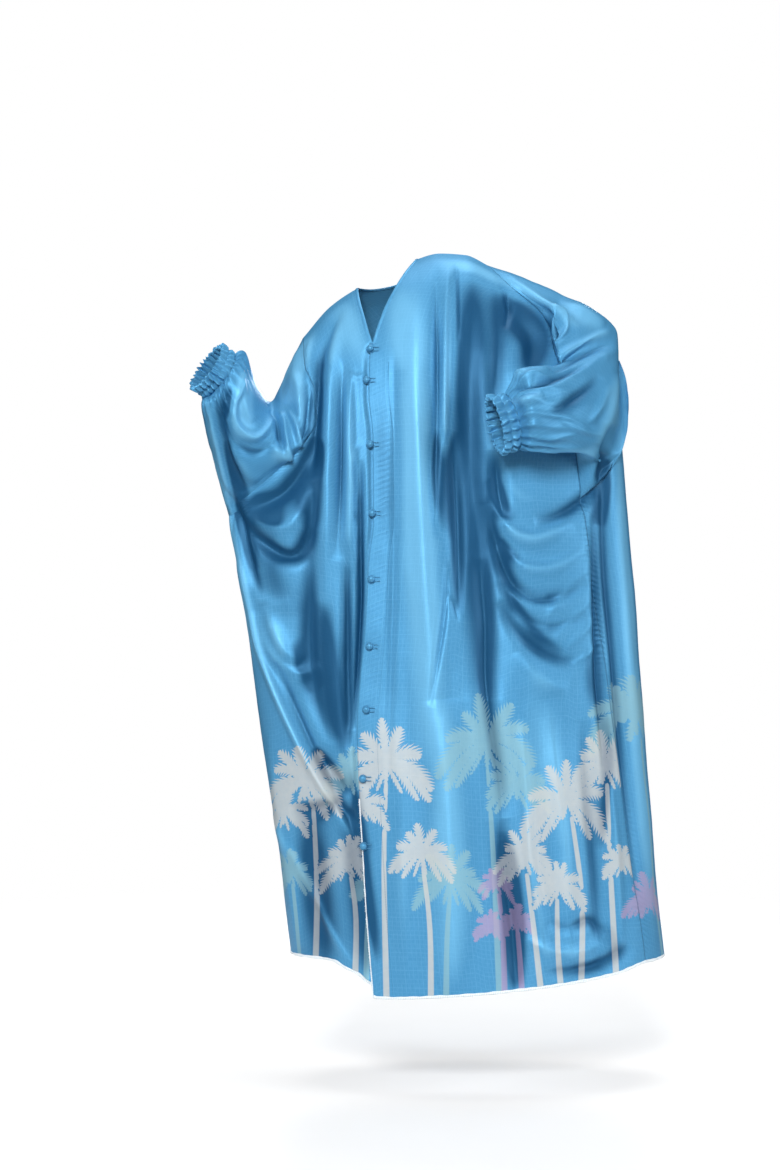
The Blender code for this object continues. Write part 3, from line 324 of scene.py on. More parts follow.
# Painted highlights and painted shade: places on the front whose colour is lighter or darker, as if a fold
# rose or sank there. They move no cloth, and stand for what the fold tables don't give.
PAINTED_LIGHT_PLACES = (
    ("name", "path", "left", "right", "height"),
    ("shoulder_right", ((345, 290), (338, 326), (330, 366)), 14, 14, 6.0),
    ("collar_right", ((346, 300), (356, 336), (366, 372)), 12, 12, 6.0),
    ("neck_left", ((398, 284), (402, 320), (408, 370)), 18, 20, 6.5),
    ("chest_top", ((430, 262), (470, 266), (508, 282), (552, 304)), 9, 9, 9.0),
    ("front_band", ((404, 330), (408, 420), (412, 540), (416, 660), (418, 780)), 18, 16, 4.0),
    ("front_ridge", ((452, 280), (451, 340), (448, 400), (444, 460)), 5, 5, 7.0),
    ("upper_arm_right", ((310, 322), (300, 350), (291, 378), (284, 412)), 9, 9, 13.0),
    ("upper_arm_low", ((304, 380), (306, 410), (304, 440)), 5, 5, 6.0),
    ("bend", ((250, 372), (246, 396), (246, 420), (255, 434)), 8, 8, 10.0),
    ("drip", ((262, 448), (281, 460), (300, 456)), 9, 9, 4.0),
    ("elbow_top", ((550, 300), (580, 318), (600, 324), (622, 322)), 12, 12, 5.0),
    ("edge_left", ((619, 350), (621, 420), (624, 500), (630, 580), (636, 680), (642, 780), (650, 880),
                   (656, 956)), 9, 9, 9.0),
    ("edge_right", ((203, 398), (214, 450), (230, 520), (243, 600), (256, 680)), 6, 6, 8.0),
    ("elbow_rim", ((610, 420), (600, 448), (566, 462)), 8, 8, 7.0),
    ("swag", ((500, 474), (522, 496), (544, 498)), 8, 8, 4.0),
    ("swag_low", ((512, 586), (530, 596), (548, 596)), 5, 5, 4.0),
    ("swag_lowest", ((514, 608), (532, 624), (550, 628)), 5, 5, 5.0),
    ("swing", ((296, 694), (310, 720), (326, 750)), 7, 7, 3.0),
    ("pouch", ((254, 492), (268, 516), (286, 528)), 13, 13, -12.0),
    ("front_hollow", ((324, 600), (330, 660), (336, 710), (345, 762)), 9, 9, -11.0),
    ("hip_right", ((530, 670), (538, 740), (546, 850)), 18, 18, 4.5),
    ("pouch_side", ((320, 440), (310, 480), (296, 524)), 9, 9, -8.0),
    ("outer", ((226, 440), (233, 472), (242, 512), (256, 570)), 6, 6, -11.0),
    ("wrist", ((232, 384), (229, 400), (228, 420)), 4, 4, -11.0),
    ("bib", ((322, 380), (322, 460), (324, 560)), 8, 8, -5.0),
    ("middle_left", ((262, 540), (276, 580), (290, 620)), 14, 18, -5.0),
    ("low_left", ((290, 640), (302, 664), (318, 690)), 10, 10, -8.0),
    ("placket", ((382, 370), (382, 460), (386, 560)), 14, 12, -4.5),
    ("hand_side", ((436, 430), (438, 480), (442, 540)), 9, 10, -9.0),
    ("chest_side", ((472, 270), (472, 340), (474, 420)), 11, 13, -6.0),
    ("arm_pit", ((512, 300), (538, 334), (528, 376)), 13, 13, -5.5),
    ("fore_arm", ((506, 440), (540, 424), (576, 408), (606, 390)), 12, 12, -3.0),
    ("thumb", ((492, 478), (501, 506), (514, 524)), 8, 8, -9.0),
    ("hip_side", ((498, 540), (510, 554), (524, 566)), 7, 7, -7.0),
    ("hip_low", ((508, 588), (522, 612), (538, 634), (564, 652)), 6, 6, -7.0),
    ("flap", ((606, 458), (604, 490), (598, 526)), 8, 8, -12.0),
    ("strip", ((588, 640), (590, 680), (594, 716)), 6, 6, -5.0),
    ("strip_low", ((606, 716), (609, 760), (606, 800), (602, 850)), 7, 7, -9.0),
    ("skirt_low", ((504, 830), (512, 870), (516, 920), (518, 990)), 9, 9, -8.0),
    ("hem", ((540, 890), (566, 910), (586, 940)), 12, 12, -3.0),
    ("hem_end", ((608, 920), (616, 944), (622, 964)), 10, 10, -5.0),
    ("lap_side", ((350, 764), (358, 824), (365, 886), (378, 966)), 8, 4, -13.0),
)
# Folds of the back, placed as if the front camera saw them through the front
BACK_FOLDS = (
    ("name", "path", "left", "right", "height"),
    ("right_roll", ((356, 300), (343, 470), (338, 670), (336, 945)), 24, 22, 13.0),
    ("right_hollow", ((320, 360), (304, 520), (296, 740), (306, 930)), 14, 16, -8.0),
    ("middle_roll", ((400, 290), (414, 470), (424, 720), (432, 960)), 24, 26, 12.0),
    ("middle_hollow", ((378, 340), (378, 540), (384, 780), (388, 960)), 15, 14, -8.0),
    ("left_roll", ((450, 280), (484, 470), (508, 720), (522, 960)), 24, 24, 14.0),
    ("left_hollow", ((434, 360), (454, 600), (474, 820), (480, 960)), 13, 15, -8.0),
    ("outer_roll", ((520, 400), (556, 570), (582, 760), (600, 940)), 20, 22, 11.0),
    ("outer_hollow", ((522, 560), (544, 700), (560, 830), (570, 950)), 12, 12, -7.0),
    ("yoke_swag", ((250, 500), (315, 560), (420, 584), (510, 556), (590, 490)), 26, 34, 2.5),
    ("shoulder_left", ((545, 320), (500, 380), (476, 450)), 14, 14, 4.0),
    ("shoulder_right", ((296, 370), (322, 420), (340, 480)), 12, 12, 3.5),
)

# The sleeves: four points of each ring from the armhole to the cuff, on top, inside the bend
# or in front, underneath, and outside the bend or behind
RINGS_LEFT = (
    ("top", "front", "under", "back"),
    ((0.275, 0.000, -0.008), (0.324, -0.115, -0.152), (0.396, -0.090, -0.430), (0.432, 0.070, -0.133)),
    ((0.350, 0.008, -0.041), (0.331, -0.125, -0.182), (0.410, -0.092, -0.406), (0.447, 0.060, -0.160)),
    ((0.427, 0.005, -0.085), (0.334, -0.135, -0.203), (0.416, -0.100, -0.385), (0.453, 0.025, -0.207)),
    ((0.421, -0.050, -0.141), (0.322, -0.148, -0.233), (0.396, -0.130, -0.375), (0.441, -0.095, -0.267)),
    ((0.370, -0.120, -0.178), (0.300, -0.156, -0.258), (0.354, -0.170, -0.362), (0.387, -0.190, -0.288)),
    ((0.312, -0.170, -0.200), (0.271, -0.160, -0.272), (0.306, -0.200, -0.364), (0.322, -0.250, -0.293)),
    ((0.256, -0.200, -0.209), (0.240, -0.165, -0.278), (0.271, -0.215, -0.363), (0.267, -0.275, -0.291)),
)
RINGS_RIGHT = (
    ("top", "front", "under", "back"),
    ((-0.196, -0.005, -0.172), (-0.179, -0.125, -0.342), (-0.328, -0.050, -0.452), (-0.214, 0.085, -0.304)),
    ((-0.217, -0.020, -0.224), (-0.217, -0.135, -0.348), (-0.338, -0.070, -0.413), (-0.247, 0.060, -0.306)),
    ((-0.236, -0.040, -0.256), (-0.255, -0.150, -0.343), (-0.347, -0.090, -0.371), (-0.277, 0.020, -0.305)),
    ((-0.256, -0.070, -0.238), (-0.283, -0.170, -0.321), (-0.356, -0.110, -0.333), (-0.299, -0.020, -0.281)),
    ((-0.272, -0.100, -0.201), (-0.303, -0.185, -0.280), (-0.363, -0.130, -0.297), (-0.312, -0.060, -0.247)),
    ((-0.284, -0.125, -0.170), (-0.316, -0.192, -0.243), (-0.364, -0.148, -0.270), (-0.322, -0.090, -0.212)),
)
# Shares of a sleeve's length: over which the armhole's own outline fades, from where it gathers,
# and over which folds grow at the armhole and end at the cuff. Then the height of the gathers, in
# metres, the share of it that they lose at the cuff, and where they start to lose it.
ARMHOLE_BLEND = 0.55
GATHER_START = 0.55
FOLDS_IN = 0.12
FOLDS_OUT = 0.10
GATHER_HEIGHT = 0.0035
GATHERS_CALM = 0.55
CALM_FROM = 0.93
SLEEVE_FOLDS_LEFT = (
    ("name", "path", "left", "right", "height"),
    ("over_arm", ((502, 272), (524, 290), (542, 302), (562, 314), (580, 330)), 3.5, 5, 5.0),
    ("over_arm_hollow", ((510, 284), (528, 300), (546, 311), (560, 320)), 3, 3, -6.0),
    ("curl", ((552, 306), (562, 314), (566, 328), (560, 338), (546, 347)), 2.5, 3, 5.0),
    ("pocket", ((540, 318), (550, 332), (544, 345), (532, 360)), 7, 7, -11.0),
    ("arm_light", ((560, 302), (584, 312), (606, 324)), 5, 6, 5.0),
    ("elbow_a", ((552, 362), (580, 344), (612, 330)), 4, 5, 6.0),
    ("elbow_trough", ((548, 374), (578, 356), (612, 342)), 4, 4, -5.0),
    ("elbow_b", ((536, 393), (562, 382), (591, 364), (619, 348)), 4, 5, 5.0),
    ("fore_dark", ((602, 376), (580, 394), (552, 414)), 6, 6, -6.0),
    ("elbow_c", ((600, 446), (606, 425), (612, 400), (616, 374)), 7, 7, 6.0),
    ("elbow_d", ((590, 424), (600, 405), (608, 384)), 3, 4, 3.5),
    ("fore_arm", ((502, 386), (512, 375), (532, 374), (554, 368)), 4, 6, 6.0),
    ("fore_arm_trough", ((500, 393), (530, 386), (568, 373), (604, 357)), 4, 5, -7.0),
    ("fore_arm_low", ((498, 404), (518, 401), (545, 396)), 5, 5, 7.0),
    ("crease_a", ((560, 421), (580, 430), (602, 436)), 2.5, 3, 3.0),
    ("crease_b", ((548, 412), (572, 420), (590, 430)), 2.5, 3, 2.5),
    ("under_line", ((524, 441), (546, 439), (578, 434)), 2, 3, 2.5),
    ("rim", ((524, 448), (546, 450), (571, 449), (587, 453), (598, 460)), 3, 3, 4.0),
    ("flap_dark", ((612, 424), (608, 456), (601, 484)), 7, 7, -11.0),
)
SLEEVE_FOLDS_RIGHT = (
    ("name", "path", "left", "right", "height"),
    ("bend", ((243, 366), (238, 390), (233, 407), (236, 425), (252, 437), (266, 430), (276, 415)),
     4, 5, 8.0),
    ("bend_top", ((241, 372), (243, 396), (246, 412), (254, 422)), 6, 5, 4.0),
    ("bend_trough", ((226, 376), (223, 400), (225, 424), (237, 446), (254, 454), (270, 447), (281, 434)),
     5, 5, -6.0),
    ("outer_roll", ((206, 386), (211, 412), (219, 448), (227, 482), (234, 505)), 4, 4, 6.0),
    ("pouch_hollow", ((213, 392), (220, 430), (232, 466), (249, 497), (262, 510)), 5, 5, -8.0),
    ("pouch", ((230, 424), (238, 454), (249, 474), (262, 480)), 7, 7, 5.0),
    ("crook", ((270, 410), (276, 420), (280, 436), (285, 452)), 3, 3, -6.0),
    ("drip", ((280, 412), (284, 421), (286, 440), (290, 460), (297, 465), (301, 450), (297, 428),
              (288, 410)), 3, 3, 7.0),
    ("drip_light", ((268, 438), (278, 452), (290, 462)), 5, 5, 5.0),
    ("upper_light", ((306, 340), (299, 364), (291, 388), (285, 404)), 7, 9, 5.0),
    ("upper_a", ((299, 372), (300, 400), (302, 430)), 5, 5, 5.0),
    ("deep", ((311, 376), (311, 408), (308, 438), (302, 462)), 5, 6, -8.0),
)

# The cuffs: middle of the seam, the way the arm points, the way their long half points, half
# length and half depth of the oval, width of the band and number of gathers
CUFFS = (
    ("middle", "along", "upward", "half_length", "half_depth", "band", "gathers"),
    ((0.233, -0.208, -0.308), (-0.90, -0.30, -0.22), (-0.43, 0.00, 0.90), 0.054, 0.036, 0.036, 20),
    ((-0.329, -0.150, -0.217), (-0.72, -0.42, 0.50), (0.52, -0.05, 0.85), 0.049, 0.036, 0.034, 24),
)
CUFF_COLUMNS = 300
# A cuff's outer face from the sleeve to the hand and, inside it, back: share of the band, size of
# the oval, height of the gathers and how deep the row lies
CUFF_ROWS = (
    ("share", "swell", "wave", "depth"),
    (-0.10, 0.985, 0.0016, 0.0010),
    (0.00, 0.965, 0.0010, 0.0),
    (0.06, 0.970, 0.0016, 0.0),
    (0.18, 1.010, 0.0034, 0.0),
    (0.32, 1.015, 0.0038, 0.0),
    (0.44, 0.985, 0.0026, 0.0),
    (0.50, 0.970, 0.0020, 0.0),
    (0.56, 0.985, 0.0026, 0.0),
    (0.68, 1.025, 0.0040, 0.0),
    (0.82, 1.035, 0.0044, 0.0),
    (0.92, 1.030, 0.0046, 0.0),
    (0.98, 1.015, 0.0046, 0.0),
    (1.00, 1.000, 0.0044, 0.0014),
    (0.97, 0.985, 0.0042, 0.0022),
    (0.80, 0.985, 0.0038, 0.0024),
    (0.50, 0.950, 0.0018, 0.0024),
    (0.10, 0.960, 0.0014, 0.0024),
)
# The frill at the hand's side of the band: the share of the band from which it grows, how many
# times more gathers it has, and how far its rim ripples in and out
FRILL_FROM = 0.6
FRILL_GATHERS = 1.45
FRILL_RIPPLE = 0.0016

# Buttons: drop, and distance of the centre from the lapped edge, onto the overlapping front
BUTTONS = (
    ("drop", "inside_edge"),
    (0.152, 0.000),
    (0.215, -0.003),
    (0.348, -0.004),
    (0.484, -0.001),
    (0.612, 0.008),
    (0.742, 0.012),
    (0.864, 0.017),
    (0.997, 0.009),
    (1.127, 0.003),
)

# Ordinary palm trees of the border: ink, middle of the crown, reach of its fronds, and the trunk
PALMS_LEFT_FRONT = (
    ("ink", "crown", "reach", "trunk"),
    ("mint", (516, 786), 36, ()),
    ("mint", (487, 744), 50, ((488, 770), (494, 870), (500, 1010))),
    ("mint", (450, 880), 36, ((450, 890), (447, 940), (446, 1010))),
    ("pink", (497, 882), 18, ((499, 895), (503, 940), (505, 1010))),
    ("pink", (491, 926), 17, ()),
    ("pink", (517, 920), 18, ((517, 925), (520, 960), (523, 1010))),
    ("mint", (634, 714), 46, ((638, 740), (646, 840), (654, 960))),
    ("white", (360, 806), 30, ()),
    ("white", (387, 765), 46, ((386, 780), (384, 870), (387, 1020))),
    ("white", (422, 854), 34, ((423, 866), (430, 930), (431, 1020))),
    ("white", (525, 857), 32, ((527, 875), (534, 930), (542, 1000))),
    ("white", (559, 886), 29, ((557, 900), (558, 950), (562, 1000))),
    ("white", (567, 802), 44, ((572, 818), (582, 900), (581, 1000))),
    ("white", (605, 766), 40, ((607, 785), (611, 880), (617, 990))),
    ("white", (622, 862), 22, ()),
    ("pink", (650, 898), 26, ()),
)
PALMS_RIGHT_FRONT = (
    ("ink", "crown", "reach", "trunk"),
    ("mint", (350, 776), 30, ()),
    ("mint", (289, 872), 26, ((291, 885), (294, 924), (296, 980))),
    ("mint", (371, 886), 20, ((369, 900), (367, 940), (366, 1000))),
    ("white", (305, 782), 42, ((313, 800), (317, 890), (315, 980))),
    ("white", (283, 812), 27, ()),
    ("white", (348, 860), 30, ((351, 875), (356, 920), (355, 990))),
)
PALMS_BACK = (
    ("ink", "crown", "reach", "trunk"),
    ("mint", (390, 790), 42, ((392, 810), (396, 900), (398, 1000))),
    ("mint", (506, 850), 34, ((506, 865), (510, 930), (512, 1000))),
    ("pink", (432, 902), 22, ((432, 910), (435, 950), (436, 1000))),
    ("pink", (566, 896), 22, ((566, 905), (570, 950), (572, 1000))),
    ("mint", (604, 800), 38, ((606, 820), (612, 900), (618, 1000))),
    ("white", (344, 756), 44, ((340, 776), (336, 870), (338, 1000))),
    ("white", (456, 752), 46, ((462, 772), (470, 870), (474, 1000))),
    ("white", (552, 776), 42, ((546, 794), (544, 880), (548, 1000))),
    ("white", (302, 846), 30, ((305, 858), (310, 910), (312, 1000))),
    ("white", (372, 878), 28, ((374, 890), (378, 930), (380, 1000))),
    ("mint", (688, 714), 46, ((684, 740), (690, 840), (698, 960))),
    ("pink", (707, 898), 26, ()),
)
# The fronds of a palm: the way each leaves the crown, in degrees with 90 downwards, its length as
# a share of the palm's reach, how far its tip falls as a share of its length, and its width
FRONDS = (
    ("turn", "stretch", "fall", "width"),
    (-95, 0.98, 0.04, 0.90),
    (-118, 1.02, 0.18, 0.95),
    (-70, 1.02, 0.18, 0.95),
    (-138, 1.08, 0.52, 1.05),
    (-44, 1.08, 0.52, 1.05),
    (-156, 1.04, 0.92, 1.05),
    (-25, 1.04, 0.92, 1.05),
    (-178, 0.90, 1.02, 0.95),
    (-4, 0.90, 1.02, 0.95),
    (160, 0.66, 0.85, 0.70),
    (22, 0.66, 0.85, 0.70),
    (114, 0.62, 0.12, 0.28),
    (68, 0.60, 0.12, 0.28),
    (95, 0.44, 0.00, 0.28),
)
FROND_STEPS = 10
# Width of a frond as a share of the palm's reach, how far a leaflet slants back along the rib, and
# the space of leaflets: so many pixels and a share of the reach
FROND_WIDTH = 0.205
LEAFLET_SLANT = 1.1
LEAFLETS_APART = (2.0, 0.048)
# In pixels: the gap where fronds cross, half the width of a rib and of a trunk at its two ends, and
# the distance from a rib at which the cloth is bare
SLIT = 1.3
RIB = 0.7
TRUNK_WIDTHS = (2.1, 3.2)
NO_INK = 7.0
# The print starts below this pixel row, and round the sides it is squeezed to this share at most
PRINT_FROM = 640
MOST_SQUEEZED = 0.75
# How much higher folds are than their tables say, how steep their flanks are, and the depth behind
# the front over which the painted highlights and painted shade fade
FOLD_DEPTH = 1.7
CREST = 1.7
PAINTED_LIGHT_FADE = 0.04
# Fine unevenness: height in metres, and wavelength across and down in pixels
BODY_WAVES = ((0.0007, 40, 120), (0.00010, 14, 30))
SLEEVE_WAVES = ((0.0008, 30, 34), (0.00015, 12, 14))


def glide(table, name, x):
    """A monotone cubic through a table's named column against its first, level past its ends."""
    header, *rows = table
    xs = np.array([row[0] for row in rows], float)
    ys = np.array([row[header.index(name)] for row in rows], float)
    x = np.clip(x, xs[0], xs[-1])
    step = np.diff(xs)
    slope = np.diff(ys) / step
    together = slope[:-1] * slope[1:] > 0
    total = np.where(together, slope[:-1] + slope[1:], 1.0)
    inner = np.where(together, 2 * slope[:-1] * slope[1:] / total, 0.0)
    tangent = np.concatenate([slope[:1], inner, slope[-1:]])
    i = np.clip(np.searchsorted(xs, x, side="right") - 1, 0, len(step) - 1)
    u = (x - xs[i]) / step[i]
    rise = ys[i + 1] - ys[i]
    return (
        ys[i]
        + rise * u * u * (3 - 2 * u)
        + step[i] * u * (1 - u) * (tangent[i] * (1 - u) - tangent[i + 1] * u)
    )


def ease(x):
    """0 below 0, 1 above 1, and smooth between."""
    x = np.clip(x, 0.0, 1.0)
    return x * x * (3 - 2 * x)


def unit(vectors):
    return vectors / np.maximum(np.linalg.norm(vectors, axis=-1, keepdims=True), 1e-12)


def level(name, drop):
    return glide(LEVELS, name, drop)


def seen(points):
    """Where the front camera sees points, in pixels right and down from the picture's corner."""
    scale = PIXEL * (1 + points[..., 1] / CAMERA_DISTANCE)
    return ORIGIN_X + points[..., 0] / scale, MIDDLE_Y - (points[..., 2] - CAMERA_Z) / scale


def angle_at(x, drop):
    """The angle on the front of the body where it is x to the right."""
    low, high = level("low_x", drop), level("high_x", drop)
    share = (2 * x - low - high) / (high - low)
    return np.arcsin(np.clip(share, -1.0, 1.0)) * 2 / math.pi


def body_form(c, v):
    """A point of the body without its folds, at angle c and share v of the length."""
    c, v = np.broadcast_arrays(np.asarray(c, float), np.asarray(v, float))
    drop = v * LENGTH
    low, high = level("low_x", drop), level("high_x", drop)
    across = np.sin(c * math.pi / 2)
    toward = np.cos(c * math.pi / 2)
    x = (low + high) / 2 + (high - low) / 2 * across
    side = (level("low_x_depth", drop) * (1 - across) + level("high_x_depth", drop) * (1 + across)) / 2
    middle = np.where(toward > 0, level("front", drop), level("back", drop))
    y = side + (middle - side) * np.abs(toward) ** BOXINESS
    z = -v * glide(HEM, "length", c) + (1 - ease(drop / FLAT_BELOW)) * glide(SHOULDER, "z", x)
    return np.stack([x, y, z], axis=-1)


def body_normal(c, v):
    """The outward direction of the body without its folds."""
    small = 0.002
    c, v = np.broadcast_arrays(np.asarray(c, float), np.asarray(v, float))
    low, high = np.maximum(v - small, 0.0), np.minimum(v + small, 1.0)
    down = body_form(c, high) - body_form(c, low)
    around = body_form(c + small, v) - body_form(c - small, v)
    return unit(np.cross(down, around))


def path_points(path, steps=8):
    """A smooth line through the points of a path, as Catmull and Rom draw it."""
    path = np.asarray(path, float)
    path = np.vstack([2 * path[0] - path[1], path, 2 * path[-1] - path[-2]])
    found = []
    for a, b, c, d in zip(path, path[1:], path[2:], path[3:]):
        for u in np.arange(steps) / steps:
            found.append(
                0.5 * (2 * b + (c - a) * u + (2 * a - 5 * b + 4 * c - d) * u * u
                       + (3 * b - a - 3 * c + d) * u ** 3)
            )
    found.append(path[-2])
    return np.array(found)


def nearest(line, spots):
    """For each spot: distance to a line of points, length along it there, and the side it is on."""
    step = np.diff(line, axis=0)
    span = np.maximum(np.linalg.norm(step, axis=1), 1e-9)
    start = np.concatenate([[0.0], np.cumsum(span)[:-1]])
    away = spots[:, None, :] - line[:-1]
    share = np.clip((away * step).sum(-1) / span ** 2, 0.0, 1.0)
    off = away - share[..., None] * step
    distance = np.linalg.norm(off, axis=-1)
    pick = (np.arange(len(spots)), distance.argmin(-1))
    turned = step[:, 0] * off[..., 1] - step[:, 1] * off[..., 0]
    return distance[pick], (start + share * span)[pick], turned[pick]


def boxed(line, reach, u, v):
    """Which spots lie within reach of the box round a line."""
    near = (u > line[:, 0].min() - reach) & (u < line[:, 0].max() + reach)
    return near & (v > line[:, 1].min() - reach) & (v < line[:, 1].max() + reach)


def relief(folds, u, v):
    """How far, in metres, a table of folds lifts the cloth that is seen at each pixel (u, v)."""
    lift = np.zeros(u.shape)
    for _, path, left, right, height in folds[1:]:
        line = path_points(path, 5)
        near = boxed(line, 3 * max(left, right), u, v)
        if not near.any():
            continue
        distance, along, turned = nearest(line, np.stack([u[near], v[near]], axis=-1))
        whole = np.linalg.norm(np.diff(line, axis=0), axis=1).sum()
        fade = np.sin(math.pi * np.clip(along / whole, 0.0, 1.0)) ** 0.7
        bell = np.exp(-((distance / np.where(turned > 0, right, left)) ** CREST))
        lift[near] += fade * FOLD_DEPTH * height / 1000 * bell
    return lift


def shading(points, rise):
    """Height of the folds, with the painted highlights and painted shade of the satin's front added."""
    u, w = seen(points)
    return rise + relief(PAINTED_LIGHT_PLACES, u, w) * ease(-points[..., 1] / PAINTED_LIGHT_FADE)


def ripple(u, v, seed, wide, tall, count=20):
    """Smooth unevenness of about unit size with that wavelength across and down, in pixels."""
    rng = np.random.default_rng(seed)
    total = np.zeros(u.shape)
    for turn, size, phase in zip(rng.uniform(0, math.pi, count), rng.uniform(0.6, 1.5, count),
                                 rng.uniform(0, 2 * math.pi, count)):
        total += np.cos(2 * math.pi * size * (np.cos(turn) * u / wide + np.sin(turn) * v / tall) + phase)
    return total / math.sqrt(count)


def uneven(u, v, seed, waves):
    """Fine unevenness of the cloth, in metres, from a table of waves."""
    return sum(height * ripple(u, v, seed + number, wide, tall)
               for number, (height, wide, tall) in enumerate(waves))


def lifted(c, v, folds):
    """A point of the body's form, its outward direction, and how high the folds rise there."""
    point, outward = body_form(c, v), body_normal(c, v)
    u, w = seen(point)
    grow = ease((v * LENGTH - FOLDS_FROM) / FOLDS_GROW)
    front = ease(-FACING * outward[..., 1]) * relief(folds, u, w)
    behind = ease(FACING * outward[..., 1]) * relief(BACK_FOLDS, u, w)
    return point, outward, (front + behind + uneven(u, w, 3, BODY_WAVES)) * grow


def cloth(c, v, folds, inset=0.0):
    """A point of the body's outer face with its folds, sunk by inset."""
    point, outward, rise = lifted(c, v, folds)
    return point + outward * (rise - inset)[..., None]


def spread(first, last, count):
    """Angles between two edges, a column for each row, with both edges."""
    share = np.linspace(0.0, 1.0, count + 1)
    return first[:, None] * (1 - share) + last[:, None] * share


def fine_rows():
    rows = [np.array([0.0])]
    for low, high, step in ROW_STEPS[1:]:
        rows.append(np.linspace(low, high, round((high - low) / step) + 1)[1:])
    return np.concatenate(rows)


ROWS = fine_rows()


def seam_angles(armhole, side_angle, underarm, face):
    """The angle of a panel's side edge on each row: the armhole, then the side seam."""
    return np.where(ROWS < underarm - 1e-9, glide(armhole, face, ROWS), side_angle(ROWS))


def left_side(drop):
    return glide(SIDE_SEAM_LEFT, "angle", drop)


def left_front_grid():
    """Angles and shares of the overlapping front, which shows on the right."""
    edge = glide(LAPPED_EDGE, "x", ROWS)
    lap = spread(angle_at(edge, ROWS), angle_at(edge + LAP, ROWS), COLUMNS_LAP)
    outer = seam_angles(ARMHOLE_LEFT, left_side, UNDERARM_LEFT, "front")
    c = np.column_stack([lap, spread(lap[:, -1], outer, COLUMNS_LEFT_FRONT)[:, 1:]])
    return c, np.repeat(ROWS[:, None] / LENGTH, c.shape[1], axis=1)


def underlap_edge(rows):
    """The edge of the underlapping front: the neck, then free behind the other front."""
    below = glide(LAPPED_EDGE, "x", rows) + LAP
    return np.where(rows < UNDER_EDGE[-1][0], glide(UNDER_EDGE, "x", rows), below)


def underlap_inset(c, v):
    """How deep the underlapping front sinks behind the other one."""
    drop = v * LENGTH
    edge = glide(LAPPED_EDGE, "x", drop)
    x = body_form(c, v)[..., 0]
    sunk = ease((drop - V_DEPTH) / UNDERLAP_SINKS)
    return LAP_INSET * sunk * ease((x - edge + LAP_STEP) / (LAP_STEP - LAP_STEP_CLEAR))


def right_front_grid():
    """Angles and shares of the underlapping front, which shows on the left."""
    edge = underlap_edge(ROWS)
    start = angle_at(edge - LAP - LAP_STEP, ROWS)
    outer = seam_angles(ARMHOLE_RIGHT, lambda d: np.full_like(d, -1.0), UNDERARM_RIGHT, "front")
    lap = spread(start, angle_at(edge, ROWS), 2 * COLUMNS_LAP)
    c = np.column_stack([spread(outer, start, COLUMNS_RIGHT_FRONT)[:, :-1], lap])
    below = ease((ROWS[:, None] - SHORTER_BELOW) / (LENGTH - SHORTER_BELOW))
    shorter = (1 - glide(UNDER_END, "share", c)) * below
    return c, ROWS[:, None] / LENGTH * (1 - shorter)


def neck_dip(x):
    """Drop of the back neckline under the shoulder line."""
    low, high = glide(UNDER_EDGE, "x", 0.0), glide(LAPPED_EDGE, "x", 0.0)
    middle, half = (low + high) / 2, (high - low) / 2
    return BACK_NECK_DIP * np.maximum(0.0, 1 - ((x - middle) / half) ** 2)


def back_grid():
    """Angles and shares of the back, from the wearer's left to the right."""
    even = np.linspace(0.0, 1.0, COLUMNS_BACK + 1)
    first = seam_angles(ARMHOLE_LEFT, left_side, UNDERARM_LEFT, "back")
    last = seam_angles(ARMHOLE_RIGHT, lambda d: np.full_like(d, 3.0), UNDERARM_RIGHT, "back")
    stretched = first[:, None] * (1 - even) + last[:, None] * even
    power = CROWDING[0] + (CROWDING[1] - CROWDING[0]) * ease(ROWS[:, None] / UNDERARM_LEFT)
    squeezed = (
        first[-1] + (last[-1] - first[-1]) * even
        + (first - first[-1])[:, None] * (1 - even) ** power
        + (last - last[-1])[:, None] * even ** power
    )
    loosened = ease(ROWS[:, None] / EVEN_BELOW)
    c = stretched * (1 - loosened) + squeezed * loosened
    dip = neck_dip(body_form(c[0], 0.0)[:, 0]) / LENGTH
    return c, dip + (1 - dip) * ROWS[:, None] / LENGTH


def grid_faces(rows, columns, closed, flip):
    """Quads of a grid, as indices, wound so that they face out."""
    i, j = np.meshgrid(np.arange(rows - 1), np.arange(columns - (not closed)), indexing="ij")
    i, j = i.ravel(), j.ravel()
    k = (j + 1) % columns
    faces = np.stack([i * columns + j, (i + 1) * columns + j, (i + 1) * columns + k, i * columns + k], 1)
    return faces[:, ::-1] if flip else faces


def grid_normals(points, closed, flip):
    """Outward directions at the points of a grid."""
    rows, columns, _ = points.shape
    faces = grid_faces(rows, columns, closed, flip)
    flat = points.reshape(-1, 3)
    across = np.cross(flat[faces[:, 2]] - flat[faces[:, 0]], flat[faces[:, 3]] - flat[faces[:, 1]])
    total = np.zeros_like(flat)
    for corner in range(4):
        np.add.at(total, faces[:, corner], across)
    return unit(total).reshape(points.shape)


def unrolled(points, form):
    """Where the print lies at points of a panel: as the front camera sees it, but run on round the
    sides of the body's form, where the camera would see it squeezed."""
    u, v = seen(points)
    flat, _ = seen(form)
    way = np.sign(flat[:, -1:] - flat[:, :1])
    step = np.linalg.norm(np.diff(form, axis=1), axis=-1) / PIXEL
    step = np.maximum(way * np.diff(flat, axis=1), MOST_SQUEEZED * step)
    run = way * np.concatenate([np.zeros_like(way), np.cumsum(step, axis=1)], axis=1)
    middle = np.abs(flat - ORIGIN_X).argmin(axis=1)[:, None]
    return u + run - flat - np.take_along_axis(run - flat, middle, 1), v


def run_length(points, axis):
    """Length run along a grid from its first row or column, in metres."""
    span = np.linalg.norm(np.diff(points, axis=axis), axis=-1)
    start = np.zeros_like(np.take(span, [0], axis))
    return np.concatenate([start, np.cumsum(span, axis=axis)], axis=axis)


